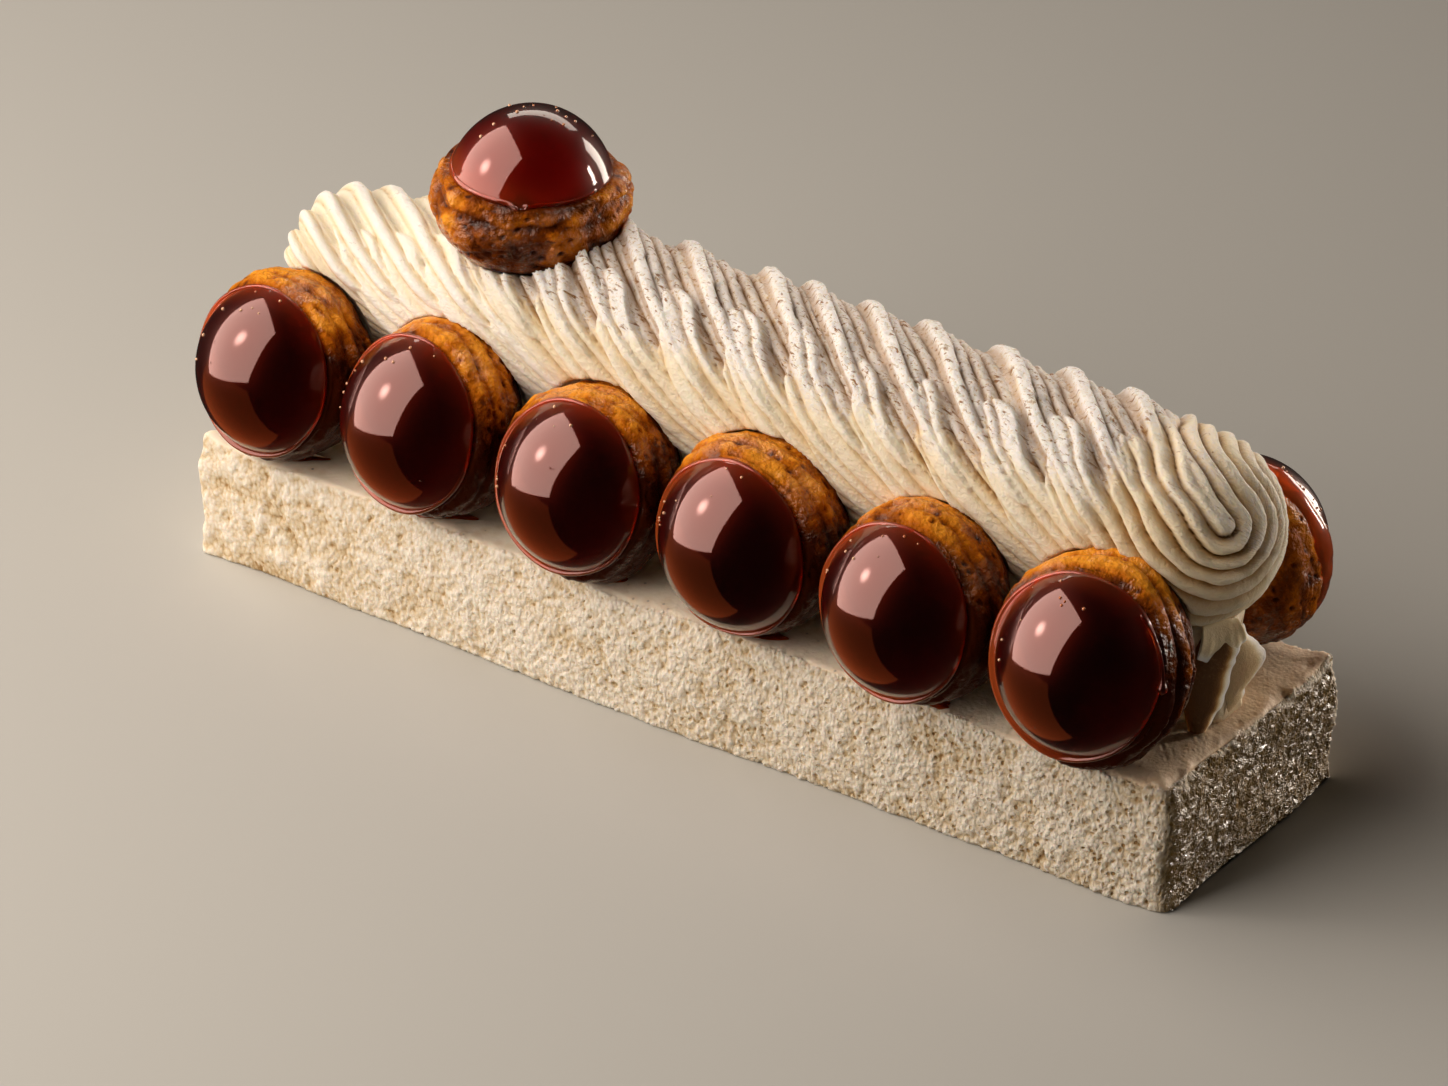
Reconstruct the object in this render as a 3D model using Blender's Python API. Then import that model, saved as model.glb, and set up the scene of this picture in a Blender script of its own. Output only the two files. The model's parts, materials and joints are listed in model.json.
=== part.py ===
"""Caramel choux cake, in metres with +Z up.

A porous sponge slab carries two rows of six choux buns. They lie on their sides with their
caramel domes facing outwards. A bed of piped cream fills the valley between the rows, a ribbed
rope of piped cream lies over it, and one more bun stands upright on the rope near its left end.
The origin is the middle of the slab's flat underside, and X runs along the cake.
"""
import math

import bmesh
import bpy
import numpy as np
from mathutils import Matrix, Vector

MM = 0.001
GAP = 0.3 * MM
PRESS_GAP = 1.25 * GAP

# Sponge slab
SLAB_LENGTH = 230.0 * MM
SLAB_WIDTH = 60.0 * MM
SLAB_HEIGHT = 27.0 * MM
SLAB_CELLS = (16, 5, 3)
SLAB_EDGE_SAG = 0.9 * MM
SLAB_FRONT_BULGE = 1.6 * MM
SLAB_UNEVENNESS = 0.5 * MM
# Slow waves of the long sides: waves per metre along and upwards, share, and phase
SLAB_WAVES = ((9.7, 0.0, 1.0, 2.0), (22.8, 14.3, 0.6, 0.0), (33.4, -11.1, 0.4, 0.0))
SLAB_END_WAVES = (19.0, 41.0)
SLAB_LEFT_SWELL = 1.6 * MM
SLAB_CORNER_RISE = 1.2 * MM

# Choux bun, along its own axis from the closed back to the glazed face
BUN_RADIUS = 19.1 * MM
BUN_BACK_DEPTH = 13.4 * MM
BUN_FRONT_DEPTH = 17.7 * MM
BUN_FACE = 7.7 * MM
BUN_WIDTH_FACTOR = 0.967
BUN_HEIGHT_FACTOR = 1.01
BUN_SEGMENTS = 16
BUN_RINGS = 7
BUN_LUMPS = 0.35 * MM
# Slow waves of a bun's skin: waves round it, waves per metre of its depth, share, and phase
BUN_WAVES = ((3, 0.0, 1.0, 1.7), (5, 41.4, 0.7, 2.3), (2, -30.2, 0.6, 0.9))
BUN_SINK = 0.6 * MM
FOLD_DEPTH = 0.55 * MM
FOLD_PITCH = 4.6 * MM
FOLD_REACH = 8.0 * MM
# Strength of the ring folds: strongest on the last bun of a row, faint on the others
FOLDS_STRONG = 1.0
FOLDS_FAINT = 0.35

# Caramel dome on a bun's face
DOME_RADIUS = 16.5 * MM
DOME_HEIGHT = 11.4 * MM
DOME_LIP = 0.9 * MM
DOME_LIP_SPREAD = 0.35 * MM
DOME_RINGS = 4

# Each bun of a row: place along and across the cake in mm, then upward tilt of its dome and
# turn about the vertical in degrees, and its size. They are as uneven as hand-piped buns.
FRONT_ROW = (
    (-97.4, -22.4, 16.0, -2.0, 1.005),
    (-59.5, -23.2, 17.0, -6.0, 1.030),
    (-21.1, -24.2, 16.0, 1.5, 1.005),
    (17.2, -23.4, 8.0, 0.0, 1.025),
    (56.3, -25.8, 12.0, -2.0, 1.010),
    (93.8, -23.8, 18.0, 8.0, 1.035),
)
BACK_ROW = (
    (-96.4, 23.2, 14.0, 3.0, 0.990),
    (-58.2, 24.0, 12.0, -2.0, 0.985),
    (-19.8, 24.2, 17.0, 4.0, 1.000),
    (18.6, 25.6, 13.0, -3.0, 0.985),
    (56.8, 24.5, 16.0, 2.0, 0.995),
    (94.2, 23.4, 12.0, -1.0, 1.000),
)
# Upright bun on the rope: its place in mm, its width and its height against a lying bun's
TOP_BUN = (-54.0, 0.0, 86.0)
TOP_BUN_WIDTH = 1.02
TOP_BUN_SQUAT = 0.92
TOP_BUN_LEAN = (3.0, -2.0)
TOP_BUN_SEED = 7
TOP_DOME_SIZE = 0.97

# Cream rope
ROPE_LEFT = -111.0 * MM
ROPE_RIGHT = 116.2 * MM
ROPE_RADIUS = 16.7 * MM
ROPE_AXIS_HEIGHT = 64.0 * MM
ROPE_UNDERSIDE = 49.0 * MM
ROPE_RIGHT_ROUNDING = 17.0 * MM
ROPE_LEFT_ROUNDING = 16.0 * MM
ROPE_THIN_START = -48.0 * MM
ROPE_THIN_SPAN = 50.0 * MM
ROPE_THINNING = 3.6 * MM
ROPE_DROOP = 5.2 * MM
ROPE_MIDDLE_STATIONS = 70
ROPE_END_STATIONS = 9
ROPE_SHOWN_ARC = (-112.0, 124.0)
ROPE_SHOWN_SEGMENTS = 28
ROPE_HIDDEN_SEGMENTS = 4
LOBE_PITCH = 15.0 * MM
LOBE_HEIGHT = 3.3 * MM
# The left end is piped in closer loops
LEFT_LOBE_PITCH = 8.8 * MM
LEFT_LOBES_START = -68.0 * MM
# Travel of a ridge along X, in mm, for each degree round the rope from its crest
RIDGE_SHEAR = 0.345
RIDGE_SHEAR_GROWTH = 0.0009
# Tiers of lobes round the rope: first and last angle, and the angle over which each fades
UPPER_TIER = (-22.0, 74.0, 24.0)
LOWER_TIER = (22.0, 160.0, 20.0)
REAR_TIER = (-160.0, -4.0, 24.0)
# Swirl that closes the rope's right end
SWIRL_START = 92.0 * MM
SWIRL_SPAN = 10.0 * MM
SWIRL_TIP_DIRECTION = (0.72, -0.48, 0.51)
SWIRL_OPENS_TOWARDS = (-0.62, 0.05, 0.78)
SWIRL_PITCH = 5.0 * MM
SWIRL_DEPTH = 2.6 * MM

# Cream bed between the rows
BED_LEFT = -108.0 * MM
BED_RIGHT = 113.5 * MM
BED_HALF_WIDTH = 7.2 * MM
BED_END_ROUNDING = 3.0 * MM
BED_FLUTE_DEPTH = 0.9 * MM
BED_FLUTE_PITCH = 9.0 * MM
BED_STATIONS = 24
BED_LEVELS = 3
# Two thin petals stand out at the bed's right end
PETAL_SPAN = 11.0 * MM
PETAL_PITCH = 5.0 * MM
PETAL_REACH = 3.4 * MM
PETAL_LEAN = 0.9
PETAL_STATIONS = 14

SPONGE = ("sponge", "E3D8C0", 0.75)
PASTRY = ("baked_pastry", "A8651C", 0.40)
CARAMEL = ("caramel", "4A0A05", 0.06)
CREAM = ("piped_cream", "EFE3CD", 0.55)


def clear_scene():
    for obj in list(bpy.data.objects):
        bpy.data.objects.remove(obj, do_unlink=True)


def linear(hex_colour):
    """Linear RGB of an sRGB hex colour."""
    channels = [int(hex_colour[i:i + 2], 16) / 255 for i in (0, 2, 4)]
    return [c / 12.92 if c <= 0.04045 else ((c + 0.055) / 1.055) ** 2.4 for c in channels]


def make_material(node_name, finish):
    name, hex_colour, roughness = finish
    material = bpy.data.materials.new(f"{name}_{node_name}")
    material.use_nodes = True
    shader = material.node_tree.nodes["Principled BSDF"]
    shader.inputs["Base Color"].default_value = (*linear(hex_colour), 1.0)
    shader.inputs["Roughness"].default_value = roughness
    shader.inputs["Metallic"].default_value = 0.0
    return material


def add_object(name, bm, finish):
    """One closed, outward, smooth-shaded object from a bmesh."""
    bmesh.ops.recalc_face_normals(bm, faces=bm.faces)
    mesh = bpy.data.meshes.new(name)
    bm.to_mesh(mesh)
    bm.free()
    mesh.shade_smooth()
    mesh.set_sharp_from_angle(angle=math.radians(45))
    mesh.materials.append(make_material(name, finish))
    obj = bpy.data.objects.new(name, mesh)
    bpy.context.scene.collection.objects.link(obj)
    return obj


def spin_profile(profile, segments):
    """Turn (radius, height) points, from pole to pole, about local Z into a closed solid."""
    bm = bmesh.new()
    verts = [bm.verts.new((radius, 0.0, height)) for radius, height in profile]
    edges = [bm.edges.new(pair) for pair in zip(verts, verts[1:])]
    bmesh.ops.spin(bm, geom=verts + edges, cent=(0, 0, 0), axis=(0, 0, 1),
                   angle=2 * math.pi, steps=segments, use_merge=True)
    bmesh.ops.remove_doubles(bm, verts=bm.verts, dist=0.01 * MM)
    return bm


def loft_rings(rings):
    """Closed solid through equal rings of points, with a fan at each end.

    Each cell is split along the diagonal that follows the slanted ridges of the cream.
    """
    bm = bmesh.new()
    loops = [[bm.verts.new(point) for point in ring] for ring in rings]
    count = len(loops[0])
    for near, far in zip(loops, loops[1:]):
        for i in range(count):
            j = (i + 1) % count
            bm.faces.new((near[i], near[j], far[j]))
            bm.faces.new((near[i], far[j], far[i]))
    for loop in (loops[0], loops[-1]):
        centre = bm.verts.new(sum((v.co for v in loop), Vector()) / count)
        for i in range(count):
            bm.faces.new((centre, loop[i], loop[(i + 1) % count]))
    return bm


def smooth_step(value):
    t = np.clip(value, 0.0, 1.0)
    return t * t * (3 - 2 * t)


# Sponge slab

def slab_offset(point):
    """Unevenness of the slab's skin: a bulging front, sagging rounded edges and a soft wave."""
    x, y, z = point
    along = 2 * x / SLAB_LENGTH
    across = 2 * y / SLAB_WIDTH
    rise = z / SLAB_HEIGHT
    wave = sum(share * math.sin(2 * math.pi * (per_x * x + per_z * z) + phase)
               for per_x, per_z, share, phase in SLAB_WAVES)
    dx = dy = dz = 0.0
    if abs(across) > 0.99:
        bulge = SLAB_FRONT_BULGE * (1 - along ** 2) if across < 0 else 0.0
        dy = math.copysign(bulge * math.sin(math.pi * (0.15 + 0.7 * rise))
                           + SLAB_UNEVENNESS * 0.5 * wave, across)
    if abs(along) > 0.99:
        side_wave = math.sin(2 * math.pi * (SLAB_END_WAVES[0] * y + SLAB_END_WAVES[1] * z))
        swell = SLAB_LEFT_SWELL if along < 0 else 0.0
        dx = math.copysign(SLAB_UNEVENNESS * side_wave - 0.3 * SLAB_EDGE_SAG + swell, along)
    if rise > 0.99 and abs(across) > 0.99:
        dy -= math.copysign(0.6 * SLAB_EDGE_SAG, across)
        dz = -SLAB_EDGE_SAG * (0.7 + 0.25 * wave)
    if rise > 0.99 and abs(along) > 0.99:
        dx -= math.copysign(0.8 * SLAB_EDGE_SAG, along)
        dz += SLAB_CORNER_RISE if abs(across) > 0.99 else -0.5 * SLAB_EDGE_SAG
    return Vector((dx, dy, dz))


def make_slab():
    """Box of equal cells whose skin is uneven, flat below and under the buns."""
    cells_x, cells_y, cells_z = SLAB_CELLS
    bm = bmesh.new()
    bmesh.ops.create_cube(bm, size=1.0)
    bmesh.ops.scale(bm, vec=(SLAB_LENGTH, SLAB_WIDTH, SLAB_HEIGHT), verts=bm.verts)
    bmesh.ops.translate(bm, vec=(0, 0, SLAB_HEIGHT / 2), verts=bm.verts)
    for axis, cells, low, size in ((0, cells_x, -SLAB_LENGTH / 2, SLAB_LENGTH),
                                   (1, cells_y, -SLAB_WIDTH / 2, SLAB_WIDTH),
                                   (2, cells_z, 0.0, SLAB_HEIGHT)):
        normal = Vector([1.0 if i == axis else 0.0 for i in range(3)])
        for step in range(1, cells):
            bmesh.ops.bisect_plane(bm, geom=bm.verts[:] + bm.edges[:] + bm.faces[:],
                                   plane_co=normal * (low + size * step / cells), plane_no=normal)
    for vert in bm.verts:
        offset = slab_offset(vert.co)
        if vert.co.z < 0.01 * SLAB_HEIGHT:
            offset.z = 0.0
        vert.co += offset
    return add_object("sponge_slab", bm, SPONGE)


# Buns and their caramel domes

def bun_profile():
    """Half an ellipse behind the widest ring, part of a longer one in front, and a flat face."""
    points = [(0.0, -BUN_BACK_DEPTH)]
    face_angle = math.asin(BUN_FACE / BUN_FRONT_DEPTH)
    for step in range(1, BUN_RINGS + 1):
        angle = -math.pi / 2 + (math.pi / 2 + face_angle) * step / BUN_RINGS
        depth = BUN_BACK_DEPTH if angle < 0 else BUN_FRONT_DEPTH
        points.append((BUN_RADIUS * math.cos(angle), depth * math.sin(angle)))
    points.append((0.0, BUN_FACE))
    return points


def bun_surface(point, seed, folds):
    """Push a bun's skin in and out by three slow waves, and by ring folds near its face."""
    x, y, z = point
    if z > BUN_FACE - 0.1 * MM:
        return point
    bearing = math.atan2(y, x)
    lump = sum(share * math.sin(count * bearing + 2 * math.pi * per_z * z + phase * seed)
               for count, per_z, share, phase in BUN_WAVES)
    fold = folds * math.sin(2 * math.pi * z / FOLD_PITCH) * smooth_step(0.5 + z / FOLD_REACH)
    grown = 1 + (BUN_LUMPS * lump + FOLD_DEPTH * fold) / BUN_RADIUS
    return Vector((x * grown, y * grown, z))


def bun_matrix(x, y, z, tilt, turn, size):
    """Frame of a bun: local +Z points out of its caramel dome."""
    place = Matrix.Translation((x, y, z))
    spin = Matrix.Rotation(math.radians(turn), 4, "Z") @ Matrix.Rotation(math.radians(90 - tilt), 4, "X")
    grow = Matrix.Diagonal((size, size, size, 1.0))
    return place @ spin, grow


def make_bun(name, frame, grow, seed, folds, floor, sides=(-math.inf, math.inf)):
    """A bun squashed flat on the height it rests on, and where it meets its neighbours."""
    bm = spin_profile(bun_profile(), BUN_SEGMENTS)
    for vert in bm.verts:
        skin = bun_surface(vert.co, seed, folds)
        local = grow @ Vector((skin.x * BUN_WIDTH_FACTOR, skin.y * BUN_HEIGHT_FACTOR, skin.z))
        world = frame @ local
        world.z = max(world.z, floor)
        world.x = min(max(world.x, sides[0]), sides[1])
        vert.co = frame.inverted() @ world
    bun = add_object(name, bm, PASTRY)
    bun.matrix_world = frame
    return bun


def dome_profile(size, face):
    """Flat back, a lip that flares a little, then a shallow spherical dome up to its pole."""
    back = face + GAP
    sphere = (DOME_RADIUS ** 2 + DOME_HEIGHT ** 2) / (2 * DOME_HEIGHT)
    start = math.asin(DOME_RADIUS / sphere)
    points = [(0.0, back), (DOME_RADIUS * size, back),
              ((DOME_RADIUS + DOME_LIP_SPREAD) * size, back + 0.5 * DOME_LIP)]
    for step in range(DOME_RINGS):
        angle = start * (1 - step / DOME_RINGS)
        height = sphere * math.cos(angle) - (sphere - DOME_HEIGHT)
        points.append((sphere * math.sin(angle) * size, back + DOME_LIP + height * size))
    points.append((0.0, back + DOME_LIP + DOME_HEIGHT * size))
    return points


def make_dome(name, bun, size, face):
    """Caramel dome, a gap in front of its bun's flat face."""
    bm = spin_profile(dome_profile(size, face), BUN_SEGMENTS)
    for vert in bm.verts:
        vert.co.x *= BUN_WIDTH_FACTOR
        vert.co.y *= BUN_HEIGHT_FACTOR
    dome = add_object(name, bm, CARAMEL)
    dome.parent = bun
    return dome


def meeting_planes(row):
    """Place along the cake of the plane where each bun meets the next, open at both ends."""
    places = [x * MM for x, *_ in row]
    between = [(near + far) / 2 for near, far in zip(places, places[1:])]
    return [-math.inf, *between, math.inf]


def make_row(side, row, base_turn):
    """Six buns in a line, each sunk a little into its own flat foot on the slab."""
    buns = []
    planes = meeting_planes(row)
    for index, (x, y, tilt, turn, size) in enumerate(row, start=1):
        reach = math.hypot(BUN_RADIUS * BUN_HEIGHT_FACTOR * math.cos(math.radians(tilt)),
                           BUN_BACK_DEPTH * math.sin(math.radians(tilt)))
        height = SLAB_HEIGHT + GAP + reach * size - BUN_SINK
        frame, grow = bun_matrix(x * MM, y * MM, height, tilt, base_turn + turn, size)
        folds = FOLDS_STRONG if index == len(row) else FOLDS_FAINT
        sides = (planes[index - 1] + GAP, planes[index] - GAP)
        bun = make_bun(f"choux_{side}_{index}", frame, grow, index + base_turn, folds,
                       SLAB_HEIGHT + GAP, sides)
        make_dome(f"caramel_{side}_{index}", bun, size, BUN_FACE * size)
        buns.append(bun)
    return buns


def make_top_bun():
    lean_x, lean_y = TOP_BUN_LEAN
    lean = Matrix.Rotation(math.radians(lean_x), 4, "X") @ Matrix.Rotation(math.radians(lean_y), 4, "Y")
    frame = Matrix.Translation(Vector(TOP_BUN) * MM) @ lean
    grow = Matrix.Diagonal((TOP_BUN_WIDTH, TOP_BUN_WIDTH, TOP_BUN_SQUAT, 1.0))
    bun = make_bun("choux_top", frame, grow, TOP_BUN_SEED, FOLDS_STRONG, SLAB_HEIGHT)
    make_dome("caramel_top", bun, TOP_DOME_SIZE, BUN_FACE * TOP_BUN_SQUAT)
    return bun


def make_cutter(bun):
    """Copy of a bun grown by the gap, which presses its hollow into the cream."""
    mesh = bun.data.copy()
    normals = [vert.normal.copy() for vert in mesh.vertices]
    for vert, normal in zip(mesh.vertices, normals):
        vert.co += normal * PRESS_GAP
    cutter = bpy.data.objects.new(f"hollow_of_{bun.name}", mesh)
    cutter.matrix_world = bun.matrix_world
    cutter.display_type = "WIRE"
    cutter.hide_render = True
    bpy.context.scene.collection.objects.link(cutter)
    return cutter


# Cream rope

def rope_section(x):
    """Radius and axis height of the rope without its ridges, with rounded ends."""
    thin = smooth_step((ROPE_THIN_START - x) / ROPE_THIN_SPAN)
    right = np.clip((x - (ROPE_RIGHT - ROPE_RIGHT_ROUNDING)) / ROPE_RIGHT_ROUNDING, 0.0, 1.0)
    left = np.clip((ROPE_LEFT + ROPE_LEFT_ROUNDING - x) / ROPE_LEFT_ROUNDING, 0.0, 1.0)
    rounding = np.sqrt(1 - right ** 2) * np.sqrt(1 - left ** 2)
    return (ROPE_RADIUS - ROPE_THINNING * thin) * rounding, ROPE_AXIS_HEIGHT - ROPE_DROOP * thin


def ridge_shift(degrees):
    """Distance along X that a ridge has travelled at an angle from the crest, in metres."""
    return (RIDGE_SHEAR * degrees + RIDGE_SHEAR_GROWTH * degrees ** 2) * MM


def lobe_wave(x, degrees, offset):
    """Round humps with sharp grooves between them, one for each pitch along the slanted ridges."""
    crest_x = x - ridge_shift(degrees)
    wide = np.maximum(crest_x, LEFT_LOBES_START) / LOBE_PITCH
    close = np.minimum(crest_x - LEFT_LOBES_START, 0.0) / LEFT_LOBE_PITCH
    phase = wide + close + offset
    across = 2 * (phase - np.round(phase))
    return np.sqrt(np.clip(1 - across ** 2, 0.0, 1.0))


def tier_window(degrees, tier):
    start, stop, fade = tier
    return smooth_step((degrees - start) / fade) * smooth_step((stop - degrees) / fade)


def rope_lobes(x, degrees):
    """Height of the piped lobes: an upper, a lower and a rear tier, half a pitch apart."""
    upper = tier_window(degrees, UPPER_TIER) * lobe_wave(x, degrees, 0.0)
    lower = tier_window(degrees, LOWER_TIER) * lobe_wave(x, degrees, 0.5)
    rear = tier_window(degrees, REAR_TIER) * lobe_wave(x, degrees, 0.5)
    return LOBE_HEIGHT * np.maximum(np.maximum(upper, lower), rear)


def swirl_ridges(x, y, z):
    """Nested U-shaped ridges round the swirl's tip, from the distance to a half-line at the tip."""
    centre = np.array([ROPE_RIGHT - ROPE_RIGHT_ROUNDING, 0.0, ROPE_AXIS_HEIGHT])
    out = Vector(SWIRL_TIP_DIRECTION).normalized()
    opening = Vector(SWIRL_OPENS_TOWARDS)
    opening = (opening - out * opening.dot(out)).normalized()
    sideways = out.cross(opening)
    tip = centre + ROPE_RADIUS * np.array(out)
    from_tip = np.array([x, y, z]) - tip
    behind = min(float(from_tip @ np.array(opening)), 0.0)
    beside = float(from_tip @ np.array(sideways))
    distance = math.hypot(behind, beside)
    return SWIRL_DEPTH * (0.5 + 0.5 * math.cos(2 * math.pi * distance / SWIRL_PITCH))


def rope_point(x, degrees):
    """Point of the rope's skin: its section grown outwards by lobes, or by the end's swirl."""
    radius, height = rope_section(x)
    angle = math.radians(degrees)
    swirl = float(smooth_step((x - SWIRL_START) / SWIRL_SPAN))
    y = -radius * math.sin(angle)
    z = height + radius * math.cos(angle)
    relief = (1 - swirl) * rope_lobes(x, degrees) + swirl * swirl_ridges(x, y, z)
    taper = min(1.0, radius / (0.5 * ROPE_RADIUS))
    grown = radius + float(relief) * taper
    return Vector((x, -grown * math.sin(angle), max(height + grown * math.cos(angle), ROPE_UNDERSIDE)))


def rope_angles():
    """Degrees round the rope from its crest, close together on the arc that shows."""
    start, stop = ROPE_SHOWN_ARC
    shown = [start + (stop - start) * i / ROPE_SHOWN_SEGMENTS for i in range(ROPE_SHOWN_SEGMENTS)]
    hidden = [stop + (start + 360 - stop) * i / ROPE_HIDDEN_SEGMENTS for i in range(ROPE_HIDDEN_SEGMENTS)]
    return shown + hidden


def rope_stations():
    """Places along the rope: even in the middle, and by equal turns round each rounded end."""
    left = ROPE_LEFT + ROPE_LEFT_ROUNDING
    right = ROPE_RIGHT - ROPE_RIGHT_ROUNDING
    turns = np.linspace(0.05, 0.5, ROPE_END_STATIONS, endpoint=False) * math.pi
    middle = np.linspace(left, right, ROPE_MIDDLE_STATIONS)
    left_end = left - ROPE_LEFT_ROUNDING * np.cos(turns)
    right_end = right + ROPE_RIGHT_ROUNDING * np.cos(turns[::-1])
    return np.concatenate([left_end, middle, right_end])


def make_rope(buns):
    """Rope of piped cream, pressed in by every bun that touches it."""
    rings = [[rope_point(x, degrees) for degrees in rope_angles()] for x in rope_stations()]
    rope = add_object("cream_rope", loft_rings(rings), CREAM)
    for bun in buns:
        cut = rope.modifiers.new(f"pressed_by_{bun.name}", "BOOLEAN")
        cut.operation = "DIFFERENCE"
        cut.object = make_cutter(bun)
    return rope


# Cream bed

def bed_half_width(x, level):
    """Half width of the bed: soft flutes along it, and leaning petals towards its right end."""
    flute = BED_FLUTE_DEPTH * math.sin(2 * math.pi * x / BED_FLUTE_PITCH + 1.5 * level)
    into_petals = smooth_step((x - BED_RIGHT + PETAL_SPAN) / (0.3 * PETAL_SPAN))
    wave = math.cos(2 * math.pi * (BED_RIGHT - x) / PETAL_PITCH - PETAL_LEAN * level)
    petal = PETAL_REACH * wave * float(into_petals) * math.sin(math.pi * (0.2 + 0.6 * level))
    inside = min(BED_RIGHT - x, x - BED_LEFT) / BED_END_ROUNDING
    return (BED_HALF_WIDTH + flute + petal) * math.sqrt(min(max(inside, 0.1), 1.0))


def bed_stations():
    start = BED_RIGHT - PETAL_SPAN
    run = [BED_LEFT + (start - BED_LEFT) * i / BED_STATIONS for i in range(BED_STATIONS)]
    return run + [start + PETAL_SPAN * i / PETAL_STATIONS for i in range(PETAL_STATIONS + 1)]


def make_bed():
    """Low wall of cream between the slab and the rope, flat above and below."""
    bottom = SLAB_HEIGHT + GAP
    height = ROPE_UNDERSIDE - GAP - bottom
    levels = [i / BED_LEVELS for i in range(BED_LEVELS + 1)]
    rings = []
    for x in bed_stations():
        front = [Vector((x, -bed_half_width(x, level), bottom + height * level)) for level in levels]
        rear = [Vector((x, bed_half_width(x, level + 1), bottom + height * level)) for level in levels]
        rings.append(front + rear[::-1])
    return add_object("cream_bed", loft_rings(rings), CREAM)


def main():
    clear_scene()
    make_slab()
    buns = make_row("front", FRONT_ROW, 0.0) + make_row("back", BACK_ROW, 180.0)
    buns.append(make_top_bun())
    make_rope(buns)
    make_bed()


main()
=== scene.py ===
"""Looks of the caramel choux cake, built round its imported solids, with +Z up.

Every shape is worked out in millimetres, as whole numpy arrays of rings, and becomes a mesh in
metres at the end. X runs along the cake, the front is -Y, and the slab's underside is z = 0.
"""
import json
import math
from itertools import product

import bpy
import numpy as np
from mathutils import Matrix, Vector

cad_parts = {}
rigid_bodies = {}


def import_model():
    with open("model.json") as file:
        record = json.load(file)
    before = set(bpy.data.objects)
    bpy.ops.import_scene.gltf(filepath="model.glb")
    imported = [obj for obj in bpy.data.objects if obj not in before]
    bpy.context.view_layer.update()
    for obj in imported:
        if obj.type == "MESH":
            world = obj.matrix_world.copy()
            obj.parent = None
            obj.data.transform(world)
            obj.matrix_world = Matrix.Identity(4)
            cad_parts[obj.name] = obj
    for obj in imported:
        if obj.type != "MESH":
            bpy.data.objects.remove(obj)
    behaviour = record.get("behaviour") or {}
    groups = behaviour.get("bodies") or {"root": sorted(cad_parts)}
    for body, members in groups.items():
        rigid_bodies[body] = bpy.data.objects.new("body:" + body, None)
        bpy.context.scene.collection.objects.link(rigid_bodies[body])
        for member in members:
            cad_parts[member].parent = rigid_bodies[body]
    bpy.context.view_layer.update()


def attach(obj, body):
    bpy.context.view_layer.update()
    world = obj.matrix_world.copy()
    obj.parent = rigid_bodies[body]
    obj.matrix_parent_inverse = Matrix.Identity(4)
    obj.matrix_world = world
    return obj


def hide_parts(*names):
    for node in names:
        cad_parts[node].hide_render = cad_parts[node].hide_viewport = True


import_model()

MM = 0.001
GAP = 0.3
BODY = "root"

# Sponge slab, in mm
SLAB_HALF = np.array([115.0, 30.0])
SLAB_HEIGHT = 27.0
SLAB_COLUMNS = (440, 112)
SLAB_WALL_ROWS = 50
SLAB_TOP_ROWS = 22
SLAB_TOP_INSET = 25.0
SLAB_EDGE_RADIUS = 1.3
SLAB_WORN_CORNER = (115.0, -30.0)
SLAB_EDGE_SAG = 0.9
SLAB_FRONT_BULGE = 1.6
SLAB_UNEVENNESS = 0.5
SLAB_WAVES = ((9.7, 0.0, 1.0, 2.0), (22.8, 14.3, 0.6, 0.0), (33.4, -11.1, 0.4, 0.0))
SLAB_END_WAVES = (19.0, 41.0)
SLAB_LEFT_SWELL = 1.6
SLAB_CORNER_RISE = 1.2

# Choux bun and caramel, in mm, as the solids have them
BUN_RADIUS = 19.1
BUN_BACK_DEPTH = 13.4
BUN_FRONT_DEPTH = 17.7
BUN_FACE = 7.7
BUN_WIDTH_FACTOR = 0.967
BUN_HEIGHT_FACTOR = 1.01
BUN_SINK = 0.6
BUN_LUMPS = 0.35
BUN_WAVES = ((3, 0.0, 1.0, 1.7), (5, 41.4, 0.7, 2.3), (2, -30.2, 0.6, 0.9))
FOLD_DEPTH = 0.55
FOLD_PITCH = 3.9
FOLD_REACH = 8.0
FOLDS_STRONG = 1.6
FOLDS_FAINT = 0.7
SOAKED_HEIGHT = 8.0
HIDDEN_BUN = ("back", 1)
HIDDEN_BUN_SIZE = 0.93
BUN_COLUMNS = 132
BUN_ROWS = 78
FRONT_ROW = (
    (-97.4, -22.4, 16.0, -2.0, 1.005),
    (-59.5, -23.2, 17.0, -6.0, 1.030),
    (-21.1, -24.2, 16.0, 1.5, 1.005),
    (17.2, -23.4, 8.0, 0.0, 1.025),
    (56.3, -25.8, 12.0, -2.0, 1.010),
    (93.8, -23.8, 18.0, 8.0, 1.035),
)
BACK_ROW = (
    (-96.4, 23.2, 14.0, 3.0, 0.990),
    (-58.2, 24.0, 12.0, -2.0, 0.985),
    (-19.8, 24.2, 17.0, 4.0, 1.000),
    (18.6, 25.6, 13.0, -3.0, 0.985),
    (56.8, 24.5, 16.0, 2.0, 0.995),
    (94.2, 23.4, 12.0, -1.0, 1.000),
)
TOP_BUN = (-54.0, 0.0, 86.0)
TOP_BUN_WIDTH = 1.02
TOP_BUN_SQUAT = 0.92
TOP_BUN_LEAN = (-1.5, 4.3)
TOP_BUN_SEED = 7
TOP_DOME_SIZE = 0.97
NO_SIDES = (-999.0, 999.0)

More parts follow.
